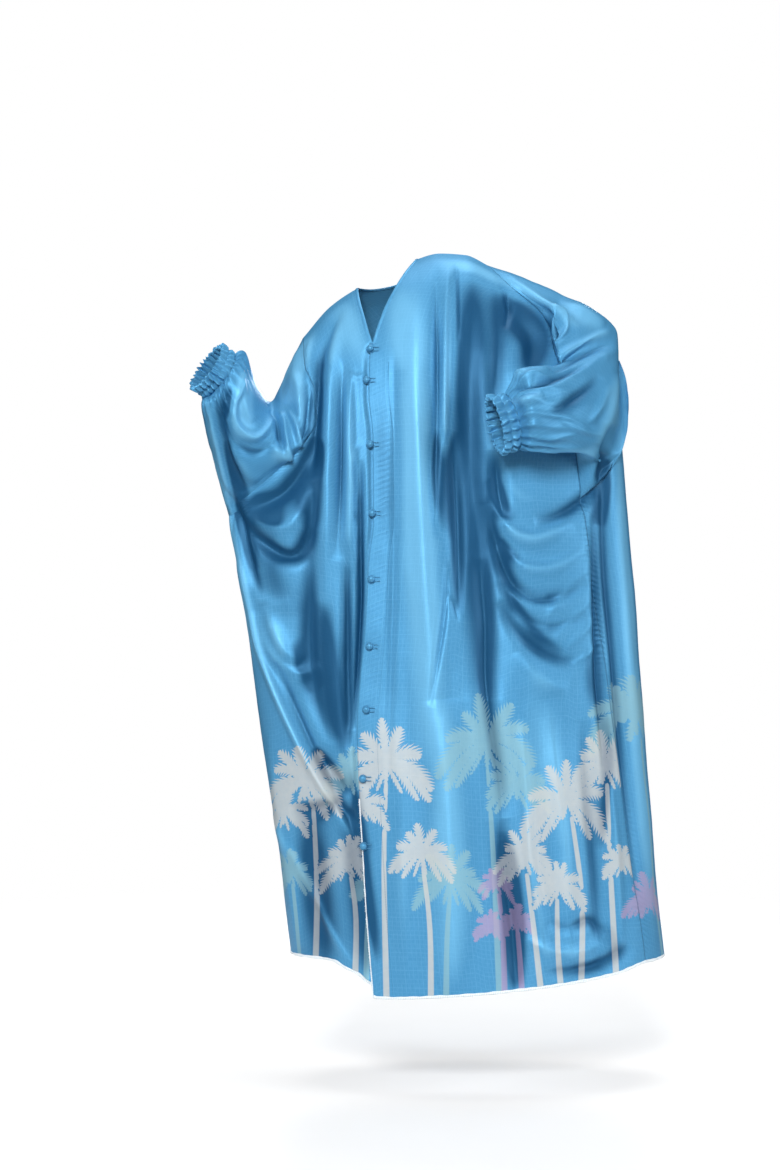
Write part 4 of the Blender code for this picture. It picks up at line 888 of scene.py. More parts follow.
def add_mesh(name, points, faces, material, fields=None):
    """A smooth mesh with a float field for each name, a value for each point."""
    mesh = bpy.data.meshes.new(name)
    points = np.asarray(points, np.float32).reshape(-1, 3)
    mesh.from_pydata(points.tolist(), [], [list(map(int, face)) for face in faces])
    mesh.update()
    for title, values in (fields or {}).items():
        values = np.asarray(values, np.float32)
        vector = values.ndim > 1 and values.shape[-1] == 3
        attribute = mesh.attributes.new(title, "FLOAT_VECTOR" if vector else "FLOAT", "POINT")
        attribute.data.foreach_set("vector" if vector else "value", values.ravel())
    mesh.shade_smooth()
    made = bpy.data.objects.new(name, mesh)
    bpy.context.scene.collection.objects.link(made)
    mesh.materials.append(material)
    return made


def armhole_loop(front, back, count):
    """The seam of a sleeve: down the front edge, up the back edge."""
    return np.concatenate([front[: count + 1], back[count:0:-1]])


def loop_turn(loop):
    """The share of a turn of each point: 0 on top, a half at the underarm."""
    half = len(loop) // 2
    span = np.linalg.norm(np.diff(np.vstack([loop, loop[:1]]), axis=0), axis=1)
    run = np.concatenate([[0.0], np.cumsum(span)])
    return np.where(
        np.arange(len(loop)) <= half,
        0.5 * run[:-1] / run[half],
        0.5 + 0.5 * (run[:-1] - run[half]) / (run[-1] - run[half]),
    )


def ring_through(four, turn):
    """A smooth closed ring through a top, front, under and back point."""
    top, front, under, back = (np.asarray(p, float) for p in four)
    angle = 2 * math.pi * turn[:, None]
    return (
        (top + front + under + back) / 4
        + (top - under) / 2 * np.cos(angle)
        + (front - back) / 2 * np.sin(angle)
        + (top + under - front - back) / 4 * np.cos(2 * angle)
    )


def cuff_axes(cuff):
    middle, along, upward = (np.asarray(cuff[part], float) for part in ("middle", "along", "upward"))
    along = unit(along)
    upward = unit(upward - upward @ along * along)
    return middle, along, upward


def cuff_ring(cuff, turn, hand):
    """An oval round the arm, with its front a quarter of a turn from its top."""
    middle, along, upward = cuff_axes(cuff)
    forward = np.cross(along, upward) * hand
    angle = 2 * math.pi * turn[:, None]
    long, deep = cuff["half_length"], cuff["half_depth"]
    return middle + upward * long * np.cos(angle) + forward * deep * np.sin(angle)


def gather_wave(turn, count, seed):
    """Gathers round a cuff, uneven in height and spacing, from about -1 to 1."""
    angle = 2 * math.pi * turn
    rng = np.random.default_rng(seed)
    drift = sum(rng.uniform(0.1, 0.5) * np.sin(k * angle + rng.uniform(0, 6)) for k in (1, 2, 3, 5))
    size = 1 + 0.3 * sum(rng.uniform(0.3, 1) * np.sin(k * angle + rng.uniform(0, 6)) for k in (3, 4, 7))
    wave = np.cos(count * angle + drift * 2)
    return size * (wave + 0.25 * np.cos(2 * (count * angle + drift * 2)))


def sleeve_grid(loop, rings, cuff, hand, folds, seed):
    """The outer face of a sleeve, ring by ring from its armhole to its cuff, and its folds' rise."""
    turn = loop_turn(loop)
    even = np.arange(len(loop)) / len(loop)
    quarter = [np.array([np.interp(part, turn, loop[:, axis]) for axis in range(3)])
               for part in (0.0, 0.25, 0.5, 0.75)]
    last = cuff_ring(cuff, np.array([0.0, 0.25, 0.5, 0.75]), hand)
    stations = np.array([quarter, *rings[1:], last])
    lanes = np.stack([path_points(stations[:, lane], 24) for lane in range(4)], axis=1)
    own = loop - ring_through(quarter, turn)
    found = []
    for position in np.linspace(0, len(lanes) - 1, SLEEVE_RINGS):
        share = position / (len(lanes) - 1)
        four = [[np.interp(position, np.arange(len(lanes)), lanes[:, lane, axis]) for axis in range(3)]
                for lane in range(4)]
        here = turn * (1 - share) + even * share
        found.append(ring_through(four, here) + own * (1 - ease(share / ARMHOLE_BLEND)))
    points = np.array(found)
    outward = grid_normals(points, True, hand > 0)
    share = np.linspace(0.0, 1.0, SLEEVE_RINGS)[:, None]
    inner_rows = ease(share / FOLDS_IN) * ease((1 - share) / FOLDS_OUT)
    u, w = seen(points)
    rise = relief(folds, u, w) * ease(-FACING * outward[..., 1])
    lift = (rise + uneven(u, w, seed, SLEEVE_WAVES)) * inner_rows
    calmed = 1 - GATHERS_CALM * ease((share - CALM_FROM) / 0.07)
    gather = ease((share - GATHER_START) / (1 - GATHER_START)) ** 1.5 * calmed
    lift = lift + GATHER_HEIGHT * gather * gather_wave(even, cuff["gathers"], seed)
    return points + outward * lift[..., None], rise


def tube(line, side, up, section):
    """Points of a swept section, a list of (side, up) offsets, along a line."""
    section = np.asarray(section, float)
    across, upward = section[:, 0, None], section[:, 1, None]
    return line[:, None, :] + side[:, None, :] * across + up[:, None, :] * upward


def rod_faces(rows, count):
    """Faces of a tube with both its ends closed."""
    last = count * (rows - 1)
    ends = [list(range(count))[::-1], [last + k for k in range(count)]]
    return [list(face) for face in grid_faces(rows, count, True, False)] + ends


def oval(half_width, half_height, count):
    angle = 2 * math.pi * np.arange(count) / count
    return np.stack([half_width * np.cos(angle), half_height * np.sin(angle)], axis=1)


def palm_lines(x, y, reach, trunk, rng):
    """The ribs and the trunk of a palm: points, half width of the frond, and space of its leaflets."""
    lines = []
    for turn, stretch, fall, width in FRONDS[1:]:
        turn = math.radians(turn + rng.uniform(-10, 10))
        length = reach * stretch * rng.uniform(0.86, 1.10)
        share = np.linspace(0.0, 1.0, FROND_STEPS)[:, None]
        rib = np.array([x, y]) + share * length * np.array([math.cos(turn), math.sin(turn)])
        rib = rib + share ** 2 * np.array([0.0, length * fall * rng.uniform(0.8, 1.2)])
        half = FROND_WIDTH * reach * width * rng.uniform(0.88, 1.12)
        lines.append((rib, half, LEAFLETS_APART[0] + LEAFLETS_APART[1] * reach))
    if trunk:
        lines.append((path_points(trunk, 4), 0.0, 0.0))
    return lines


def ink_field(palms, ink, u, v, seed):
    """Of each spot, in pixels: how far the leaflets of its frond reach from the rib, how far off
    the rib it lies, and the number of its leaflet."""
    field = np.zeros((*u.shape, 3))
    field[..., 1] = NO_INK
    second = np.full(u.shape, -NO_INK)
    for number, (colour, (x, y), reach, trunk) in enumerate(palms[1:]):
        lines = palm_lines(x, y, reach, trunk, np.random.default_rng(seed + number))
        if colour != ink:
            continue
        for line, half, apart in lines:
            near = boxed(line, NO_INK + half / 2, u, v)
            if not near.any():
                continue
            distance, along, turned = nearest(line, np.stack([u[near], v[near]], axis=-1))
            whole = np.linalg.norm(np.diff(line, axis=0), axis=1).sum()
            if half:
                foot = along - LEAFLET_SLANT * distance
                part = np.clip(foot / whole, 0.0, 1.0)
                wide = half * (0.20 + 0.80 * np.sin(math.pi * part ** 0.8)) * ease(foot / whole * 8 + 1)
                wide = np.where(along > whole - 0.01, 0.0, wide)
                leaflet = foot / apart + np.where(turned > 0, 0.5, 0.0)
            else:
                part = along / whole
                wide = TRUNK_WIDTHS[0] + (TRUNK_WIDTHS[1] - TRUNK_WIDTHS[0]) * part - RIB
                leaflet = np.zeros_like(part)
            found = np.stack([wide, distance - RIB, leaflet], axis=-1)
            held, behind = field[near], second[near]
            depth, depth_held = found[:, 0] - found[:, 1], held[:, 0] - held[:, 1]
            better = depth > depth_held
            behind = np.where(better, depth_held, np.maximum(behind, depth))
            held[better] = found[better]
            field[near], second[near] = held, behind
    narrow = ease((field[..., 0] - field[..., 1] - second) / SLIT)
    outer = ease((field[..., 1] - SLIT) / SLIT)
    field[..., 0] -= SLIT * 3 * (1 - narrow) * outer
    return field


WHITE = (1.0, 1.0, 1.0, 1.0)


class Painter:
    """A material and short ways to add nodes to it."""

    def __init__(self, name, roughness, sheen=0.0, specular=0.5, gloss=WHITE, metallic=0.0):
        self.material = bpy.data.materials.new(name)
        self.material.use_nodes = True
        self.tree = self.material.node_tree
        self.shader = self.tree.nodes["Principled BSDF"]
        self.shader.inputs["Roughness"].default_value = roughness
        self.shader.inputs["Sheen Weight"].default_value = sheen
        self.shader.inputs["Sheen Roughness"].default_value = 0.4
        self.shader.inputs["Specular IOR Level"].default_value = specular
        self.shader.inputs["Specular Tint"].default_value = gloss
        self.shader.inputs["Metallic"].default_value = metallic

    def add(self, kind, **settings):
        node = self.tree.nodes.new(kind)
        for name, value in settings.items():
            setattr(node, name, value)
        return node

    def feed(self, socket, value):
        if isinstance(value, bpy.types.NodeSocket):
            self.tree.links.new(value, socket)
        else:
            socket.default_value = value

    def field(self, name):
        return self.add("ShaderNodeAttribute", attribute_name=name)

    def reckon(self, operation, a, b=0.0):
        node = self.add("ShaderNodeMath", operation=operation)
        self.feed(node.inputs[0], a)
        self.feed(node.inputs[1], b)
        return node.outputs[0]

    def plus(self, a, b):
        return self.reckon("ADD", a, b)

    def minus(self, a, b):
        return self.reckon("SUBTRACT", a, b)

    def times(self, a, b):
        return self.reckon("MULTIPLY", a, b)

    def between(self, value, low, high):
        """0 at low, 1 at high and smooth between."""
        node = self.add("ShaderNodeMapRange", interpolation_type="SMOOTHSTEP")
        self.feed(node.inputs["Value"], value)
        node.inputs["From Min"].default_value = low
        node.inputs["From Max"].default_value = high
        return node.outputs["Result"]

    def mix(self, share, a, b):
        node = self.add("ShaderNodeMix", data_type="RGBA")
        self.feed(node.inputs["Factor"], share)
        self.feed(node.inputs["A"], a)
        self.feed(node.inputs["B"], b)
        return node.outputs["Result"]

    def noise(self, scale, detail=2.0, vector=None):
        node = self.add("ShaderNodeTexNoise")
        node.inputs["Scale"].default_value = scale
        node.inputs["Detail"].default_value = detail
        if vector is None:
            vector = self.add("ShaderNodeTexCoord").outputs["Object"]
        self.tree.links.new(vector, node.inputs["Vector"])
        return node.outputs["Fac"]

    def bump(self, height, strength, distance, normal=None):
        node = self.add("ShaderNodeBump")
        node.inputs["Strength"].default_value = strength
        node.inputs["Distance"].default_value = distance
        self.feed(node.inputs["Height"], height)
        if normal is not None:
            self.tree.links.new(normal, node.inputs["Normal"])
        return node.outputs["Normal"]

    def lines(self, value, period, half_width):
        """1 on thin lines that lie a period apart, and 0 between them."""
        part = self.reckon("FRACT", self.reckon("DIVIDE", value, period))
        off = self.reckon("ABSOLUTE", self.minus(part, 0.5))
        return self.between(off, 0.5 - half_width, 0.5)


# The satin between its threads and on them, its painted highlight on ridges and painted shade in
# hollows, at seams and stitches, and its gloss
DEEP_BLUE = (0.052, 0.228, 0.432, 1.0)
LIGHT_BLUE = (0.095, 0.315, 0.535, 1.0)
PAINTED_HIGHLIGHT_BLUE = (0.22, 0.58, 0.86, 1.0)
PAINTED_SHADE_BLUE = (0.001, 0.044, 0.125, 1.0)
SEAM_BLUE = (0.012, 0.065, 0.14, 1.0)
STITCH_BLUE = (0.03, 0.13, 0.26, 1.0)
SATIN_GLOSS = (0.32, 0.72, 1.0, 1.0)
SATIN_METALLIC = 0.2
# Painted shade in hollows and painted highlight on ridges: how high the cloth lies, in metres, where
# the colour starts to turn and where it has turned, and the most that it turns there. Inks take less
# of the painted shade in a hollow, by this share.
HOLLOW_HEIGHTS, HOLLOW_SHADE = (-0.001, -0.013), 0.92
RIDGE_HEIGHTS, RIDGE_HIGHLIGHT = (0.002, 0.014), 0.42
INK_SHADE = 0.45
# The woven check: how far apart its lines are, in metres, and half their width as a share of that
FINE_CHECK = (0.0085, 0.16)
BOLD_CHECK = (0.0340, 0.06)
# Where a seam or a stitched line no longer shows and where it is at its darkest, in metres from it
SEAM_REACH = (0.0022, 0.0006)
STITCH_REACH = (0.0016, 0.0003)
STITCH_LENGTH = 0.0032
LEAFLET_GAP = 0.70
# Each ink, its colour and how well it covers
INKS = (
    ("mint", (0.25, 0.43, 0.46, 1.0), 0.72),
    ("pink", (0.42, 0.27, 0.42, 1.0), 0.70),
    ("white", (0.50, 0.51, 0.49, 1.0), 0.94),
)


def satin_material():
    """Printed blue satin with a faint woven check, seams, a stitched line and puckers, and painted shade in
    the folds' hollows and painted highlights on their ridges.
    """
    paint = Painter("satin", 0.42, specular=0.6, gloss=SATIN_GLOSS, metallic=SATIN_METALLIC)
    split = paint.add("ShaderNodeSeparateXYZ")
    paint.feed(split.inputs[0], paint.field("thread").outputs["Vector"])
    across, down = split.outputs[0], split.outputs[1]
    fine, bold = (
        paint.reckon("MAXIMUM", paint.lines(across, *check), paint.lines(down, *check))
        for check in (FINE_CHECK, BOLD_CHECK)
    )
    cloudy = paint.noise(5.0, 3.0)
    tone = paint.plus(paint.times(cloudy, 0.55), paint.times(fine, 0.26))
    tone = paint.plus(tone, paint.times(bold, 0.12))
    stretched = paint.add("ShaderNodeMapping")
    stretched.inputs["Scale"].default_value = (500.0, 90.0, 1.0)
    paint.feed(stretched.inputs["Vector"], paint.field("thread").outputs["Vector"])
    slub = paint.noise(1.0, 2.0, stretched.outputs[0])
    tone = paint.plus(tone, paint.times(paint.minus(slub, 0.5), 0.9))
    colour = paint.mix(tone, DEEP_BLUE, LIGHT_BLUE)
    # Painted shade in the hollows of the folds and painted highlights on their ridges, from the height of
    # the folds with the painted light places added
    rise = paint.field("rise").outputs["Fac"]
    deep = paint.times(paint.between(rise, *HOLLOW_HEIGHTS), HOLLOW_SHADE)
    colour = paint.mix(deep, colour, PAINTED_SHADE_BLUE)
    high = paint.times(paint.between(rise, *RIDGE_HEIGHTS), RIDGE_HIGHLIGHT)
    colour = paint.mix(high, colour, PAINTED_HIGHLIGHT_BLUE)
    ink_painted_shade = paint.times(deep, INK_SHADE)
    worn = paint.minus(0.96, paint.times(paint.noise(90.0, 3.0), 0.22))
    inked = 0.0
    for name, ink, cover in INKS:
        part = paint.add("ShaderNodeSeparateXYZ")
        paint.feed(part.inputs[0], paint.field(name).outputs["Vector"])
        reach, off, leaflet = part.outputs
        turn = paint.reckon("ABSOLUTE", paint.minus(paint.reckon("FRACT", leaflet), 0.5))
        gap = paint.minus(1.0, paint.times(turn, 2.0))
        tips = paint.minus(1.0, paint.times(gap, LEAFLET_GAP))
        inside = paint.minus(paint.times(reach, tips), off)
        shown = paint.between(inside, -0.5, 0.5)
        # Painted shade on the ink where it lies in a hollow
        ink = paint.mix(ink_painted_shade, ink, PAINTED_SHADE_BLUE)
        covered = paint.times(shown, paint.times(worn, cover))
        colour = paint.mix(covered, colour, ink)
        inked = paint.reckon("MAXIMUM", shown, inked)
    seam = paint.between(paint.field("seam").outputs["Fac"], *SEAM_REACH)
    stitch = paint.between(paint.field("stitch").outputs["Fac"], *STITCH_REACH)
    along_stitch = paint.reckon("FRACT", paint.reckon("DIVIDE", down, STITCH_LENGTH))
    dashes = paint.between(along_stitch, 0.15, 0.35)
    colour = paint.mix(paint.times(seam, 0.5), colour, SEAM_BLUE)
    colour = paint.mix(paint.times(stitch, paint.times(dashes, 0.45)), colour, STITCH_BLUE)
    paint.feed(paint.shader.inputs["Base Color"], colour)
    rough = paint.plus(0.45, paint.times(paint.noise(14.0), 0.08))
    paint.feed(paint.shader.inputs["Roughness"], paint.plus(rough, paint.times(inked, 0.10)))
    wander = paint.times(paint.noise(30.0), 9.0)
    waves = paint.reckon("SINE", paint.plus(paint.times(down, 560.0), wander))
    pucker = paint.times(paint.field("pucker").outputs["Fac"], waves)
    normal = paint.bump(pucker, 1.0, 0.0005)
    normal = paint.bump(paint.plus(seam, paint.times(stitch, 0.4)), 0.8, -0.0009, normal)
    normal = paint.bump(paint.noise(45.0, 3.0), 0.10, 0.0012, normal)
    normal = paint.bump(paint.plus(fine, bold), 0.12, 0.0003, normal)
    paint.feed(paint.shader.inputs["Normal"], normal)
    return paint.material


def trim_material(name, bump_scale, darker=1.0):
    """The same satin without the print, for narrow and gathered pieces."""
    paint = Painter(name, 0.42, specular=0.6, gloss=SATIN_GLOSS, metallic=SATIN_METALLIC)
    cloudy = paint.noise(40.0, 3.0)
    low = tuple(part * darker for part in DEEP_BLUE[:3]) + (1.0,)
    high = tuple(part * darker for part in LIGHT_BLUE[:3]) + (1.0,)
    paint.feed(paint.shader.inputs["Base Color"], paint.mix(cloudy, low, high))
    paint.feed(paint.shader.inputs["Roughness"], paint.plus(0.34, paint.times(cloudy, 0.16)))
    normal = paint.bump(paint.noise(bump_scale, 3.0), 0.35, 0.0012)
    paint.feed(paint.shader.inputs["Normal"], paint.bump(paint.noise(1400.0, 1.0), 0.15, 0.0003, normal))
    return paint.material


def edging_material():
    """White overlock thread, looped over the raw edge."""
    paint = Painter("edging", 0.75, sheen=0.3, specular=0.3)
    loops = paint.lines(paint.field("run").outputs["Fac"], 0.0034, 0.30)
    mottled = paint.noise(260.0, 3.0)
    share = paint.plus(paint.times(loops, 0.5), paint.times(mottled, 0.5))
    paint.feed(paint.shader.inputs["Base Color"],
               paint.mix(share, (0.88, 0.90, 0.91, 1.0), (0.50, 0.63, 0.72, 1.0)))
    normal = paint.bump(loops, 0.7, -0.0010)
    paint.feed(paint.shader.inputs["Normal"], paint.bump(mottled, 0.5, 0.0008, normal))
    return paint.material


def floor_material():
    """Pale studio floor, see-through towards its rim."""
    paint = Painter("floor", 0.8, specular=0.1)
    paint.feed(paint.shader.inputs["Base Color"],
               paint.mix(paint.noise(3.0, 2.0), (0.80, 0.80, 0.80, 1.0), (0.84, 0.84, 0.84, 1.0)))
    spot = paint.add("ShaderNodeTexCoord").outputs["Object"]
    away = paint.add("ShaderNodeVectorMath", operation="LENGTH")
    paint.tree.links.new(spot, away.inputs[0])
    paint.feed(paint.shader.inputs["Alpha"], paint.between(away.outputs["Value"], 3.4, 1.7))
    return paint.material


def make_camera():
    data = bpy.data.cameras.new("front_camera")
    data.sensor_width = SENSOR
    data.lens = SENSOR * CAMERA_DISTANCE / (PICTURE_HEIGHT * PIXEL)
    camera = bpy.data.objects.new("front_camera", data)
    camera.location = (0.0, -CAMERA_DISTANCE, CAMERA_Z)
    camera.rotation_euler = (math.pi / 2, 0.0, 0.0)
    bpy.context.scene.collection.objects.link(camera)
    bpy.context.scene.camera = camera


LIGHTS = (
    ("name", "place", "aim", "width", "height", "watts"),
    ("key_light", (-0.5, -5.0, 1.5), (0.0, 0.0, -0.6), 1.6, 1.6, 300.0),
    ("right_light", (4.2, -1.6, 0.4), (0.0, 0.0, -0.6), 1.4, 2.8, 100.0),
    ("left_light", (-4.2, -1.8, 0.8), (0.0, 0.0, -0.6), 1.4, 2.8, 70.0),
    ("top_light", (0.2, 0.4, 3.4), (0.0, 0.0, -0.6), 3.0, 3.0, 100.0),
    ("back_light", (0.4, 5.2, 0.7), (0.0, 0.0, -0.7), 2.0, 2.4, 270.0),
)


def make_lights():
    for name, place, aim, width, height, watts in LIGHTS[1:]:
        data = bpy.data.lights.new(name, "AREA")
        data.shape, data.size, data.size_y, data.energy = "RECTANGLE", width, height, watts
        lamp = bpy.data.objects.new(name, data)
        lamp.location = place
        toward = np.asarray(aim) - np.asarray(place)
        lamp.rotation_euler = (
            math.atan2(math.hypot(toward[0], toward[1]), -toward[2]), 0.0,
            math.atan2(-toward[0], toward[1]),
        )
        lamp.visible_camera = False
        bpy.context.scene.collection.objects.link(lamp)
    world = bpy.data.worlds.new("studio")
    world.use_nodes = True
    world.node_tree.nodes["Background"].inputs["Color"].default_value = WHITE
    world.node_tree.nodes["Background"].inputs["Strength"].default_value = 1.0
    bpy.context.scene.world = world
    world.cycles_visibility.diffuse = False
    world.cycles_visibility.glossy = False


def make_floor():
    """A pale disc that fades out, so that it has no edge."""
    count, radius = 64, 4.0
    angle = 2 * math.pi * np.arange(count) / count
    rim = np.stack([radius * np.cos(angle), radius * np.sin(angle), np.full(count, FLOOR_Z)], axis=1)
    add_mesh("floor", rim, [list(range(count))], floor_material())


# The placket: its stitched line's distance from the lapped edge, the drop from which it shows and
# the drop over which it starts, and the strength and span of its puckers, with soft ends
PLACKET_STITCH = 0.040
STITCH_FROM, STITCH_GROWS = 0.17, 0.03
PLACKET_PUCKER = 0.16
PLACKET_SPAN = (0.002, 0.044, 0.010)
# Columns of the facing: how far behind the lapped edge each lies and how deep it is sunk
FACING_COLUMNS = (
    (0.0005, 0.0010),
    (0.0010, 0.0020),
    (0.0120, FACING_INSET),
    (LAP * 0.9, FACING_INSET),
)
# Pixel rows, from, to and length of the soft ends, in which the placket and the side seams of the
# front and the back pucker most, and in which the seam behind the raised arm is kept from showing
PLACKET_PUCKERS = (370, 520, 40)
FRONT_PUCKERS = ((480, 670, 50), (790, 960, 40))
BACK_PUCKERS = ((480, 670, 50), (770, 960, 40))
HIDDEN_ROWS = (440, 540, 20)
HIDDEN_SEAM = 0.01
# A distance, in metres, at which no seam or stitch shows
FAR = 1.0


def ink_fields(palms, points, form, seed):
    """The field of each ink of a panel at its points."""
    u, v = unrolled(points, form)
    low = v > PRINT_FROM
    fields = {}
    for name, *_ in INKS:
        field = np.tile([0.0, NO_INK, 0.0], (*u.shape, 1))
        field[low] = ink_field(palms, name, u[low], v[low], seed)
        fields[name] = field.reshape(-1, 3)
    return fields


def cloth_fields(points, rise, seam, pucker, inks, stitch=None):
    """Every field that the satin's material reads, at the points of a grid."""
    down, across = run_length(points, 0), run_length(points, 1)
    thread = np.stack([across, down, np.zeros_like(down)], axis=-1)
    return {
        "thread": thread.reshape(-1, 3),
        # The folds' height with the painted highlights and painted shade added; the satin's colour takes its
        # painted shade and highlights from it
        "rise": shading(points, rise).ravel(),
        "seam": seam.ravel(),
        "stitch": (np.full_like(seam, FAR) if stitch is None else stitch).ravel(),
        "pucker": pucker.ravel(),
        **inks,
    }


def window(value, low, high, soft):
    """1 between two values and 0 outside them, with soft ends."""
    return ease((value - low) / soft) * ease((high - value) / soft)


def puckers(distance, reach, strength, more=0.0, rows=None, stretches=()):
    """Strength of the puckers beside a seam, with more of them in some stretches of pixel rows."""
    there = sum(window(rows, *stretch) for stretch in stretches)
    return np.exp(-distance / reach) * (strength + more * there)


def with_facing(fields, rows, facing):
    """The fields of a panel, with each row's first value repeated on the columns of its facing."""
    wider = {}
    for name, values in fields.items():
        grid = values.reshape(rows, -1, *values.shape[1:])
        turned = np.repeat(grid[:, :1], facing, axis=1)
        wider[name] = np.concatenate([turned, grid], axis=1).reshape(-1, *values.shape[1:])
    return wider


def make_left_front(satin):
    """The overlapping front, with its seam, its placket and the facing of its edge."""
    c, v = left_front_grid()
    form, outward, rise = lifted(c, v, LEFT_FRONT_FOLDS)
    left = form + outward * rise[..., None]
    from_edge = run_length(left, 1)
    from_seam = from_edge[:, -1:] - from_edge
    _, w = seen(left)
    below_neck = ease((ROWS[:, None] - STITCH_FROM) / STITCH_GROWS) * np.ones_like(from_edge)
    stitch = np.where(below_neck > 0.5, np.abs(from_edge - PLACKET_STITCH), FAR)
    placket = PLACKET_PUCKER * below_neck * window(from_edge, *PLACKET_SPAN)
    placket = placket * (0.4 + 0.6 * window(w, *PLACKET_PUCKERS))
    beside = puckers(from_seam, 0.012, 0.25, 0.75, w, FRONT_PUCKERS)
    armhole = puckers(from_seam, 0.010, 0.5)
    pucker = placket + np.where(ROWS[:, None] < UNDERARM_LEFT, armhole, beside)
    inks = ink_fields(PALMS_LEFT_FRONT, left, form, 11)
    fields = cloth_fields(left, rise, from_seam, pucker, inks, stitch)
    facing = []
    for behind, sunk in FACING_COLUMNS[::-1]:
        edge = angle_at(glide(LAPPED_EDGE, "x", ROWS) + behind, ROWS)
        facing.append(cloth(edge, ROWS / LENGTH, LEFT_FRONT_FOLDS, sunk))
    whole = np.concatenate([np.stack(facing, axis=1), left], axis=1)
    fields = with_facing(fields, len(ROWS), len(facing))
    faces = grid_faces(*whole.shape[:2], False, False)
    return left, add_mesh("front_left", whole, faces, satin, fields)


def make_right_front(satin):
    """The underlapping front."""
    c, v = right_front_grid()
    form, outward, rise = lifted(c, v, RIGHT_FRONT_FOLDS)
    right = form + outward * (rise - underlap_inset(c, v))[..., None]
    from_seam = run_length(right, 1)
    _, w = seen(right)
    pucker = puckers(from_seam, 0.010, 0.35)
    seam = from_seam + HIDDEN_SEAM * window(w, *HIDDEN_ROWS)
    fields = cloth_fields(right, rise, seam, pucker, ink_fields(PALMS_RIGHT_FRONT, right, form, 41))
    faces = grid_faces(*right.shape[:2], False, False)
    return right, add_mesh("front_right", right, faces, satin, fields)


def make_back(satin):
    c, v = back_grid()
    form, outward, rise = lifted(c, v, LEFT_FRONT_FOLDS)
    back = form + outward * rise[..., None]
    from_left = run_length(back, 1)
    seam = np.minimum(from_left, from_left[:, -1:] - from_left)
    _, w = seen(back)
    pucker = puckers(seam, 0.014, 0.2, 0.8, w, BACK_PUCKERS)
    fields = cloth_fields(back, rise, seam, pucker, ink_fields(PALMS_BACK, back, form, 71))
    faces = grid_faces(*back.shape[:2], False, False)
    return back, add_mesh("back", back, faces, satin, fields)


def make_sleeve(name, loop, rings, cuff, hand, folds, satin, seed):
    points, rise = sleeve_grid(loop, rings, cuff, hand, folds, seed)
    rows, columns, _ = points.shape
    along = run_length(points, 0)
    _, w = seen(points)
    hidden = HIDDEN_SEAM * ease((w - HIDDEN_ROWS[0]) / HIDDEN_ROWS[2]) * (hand < 0)
    bare = np.tile([0.0, NO_INK, 0.0], (rows * columns, 1))
    inks = {ink: bare for ink, *_ in INKS}
    fields = cloth_fields(points, rise, along + hidden, puckers(along, 0.012, 0.35), inks)
    return add_mesh(name, points, grid_faces(rows, columns, True, hand > 0), satin, fields)


def make_cuff(name, cuff, hand, material, seed):
    """A gathered band with two puffs, a stitched line between them and its return inside."""
    turn = np.arange(CUFF_COLUMNS) / CUFF_COLUMNS
    middle, along, _ = cuff_axes(cuff)
    base = cuff_ring(cuff, turn, hand) - middle
    outward = unit(base)
    wave = gather_wave(turn, cuff["gathers"], seed)[:, None]
    frill = gather_wave(turn, round(cuff["gathers"] * FRILL_GATHERS), seed + 5)[:, None]
    lanes = path_points(CUFF_ROWS[1:], 3)
    rows = []
    for share, swell, height, depth in lanes:
        fringe = ease((share - FRILL_FROM) / (1 - FRILL_FROM))
        lift = height * (wave * (1 - 0.5 * fringe) + 0.5 * fringe * frill)
        ripple_out = FRILL_RIPPLE * fringe * frill
        out = along * (cuff["band"] * share + ripple_out)
        rows.append(middle + out + base * swell + outward * (lift - depth))
    points = np.array(rows)
    return add_mesh(name, points, grid_faces(len(points), CUFF_COLUMNS, True, hand > 0), material)


def neck_line():
    """Points of the neckline, from the left edge round the back to the right, and the outward
    directions there."""
    rows = np.linspace(V_DEPTH + BINDING_OVERRUN, 0.0, 60)
    left = angle_at(glide(LAPPED_EDGE, "x", rows), rows)
    right = angle_at(glide(UNDER_EDGE, "x", rows), rows)
    behind = np.linspace(2 - left[-1], 2 - right[-1], 36)[1:-1]
    dip = neck_dip(body_form(behind, 0.0)[:, 0])
    parts = (
        (left, rows / LENGTH, LEFT_FRONT_FOLDS),
        (behind, dip / LENGTH, BACK_FOLDS),
        (right[::-1], rows[::-1] / LENGTH, RIGHT_FRONT_FOLDS),
    )
    line = np.concatenate([cloth(c, v, folds) for c, v, folds in parts])
    outward = unit(np.concatenate([body_normal(c, v) for c, v, _ in parts]))
    for _ in range(6):
        outward[1:-1] = unit(outward[:-2] + 2 * outward[1:-1] + outward[2:])
    return line, outward


def make_binding(material):
    """The narrow rounded strip round the neck."""
    line, outward = neck_line()
    aside = unit(np.cross(unit(np.gradient(line, axis=0)), outward))
    section = oval(BINDING_WIDTH / 2, BINDING_THICKNESS / 2, BINDING_SIDES)
    points = tube(line + aside * BINDING_WIDTH / 2, aside, outward, section)
    return add_mesh("neck_binding", points, rod_faces(len(line), BINDING_SIDES), material)


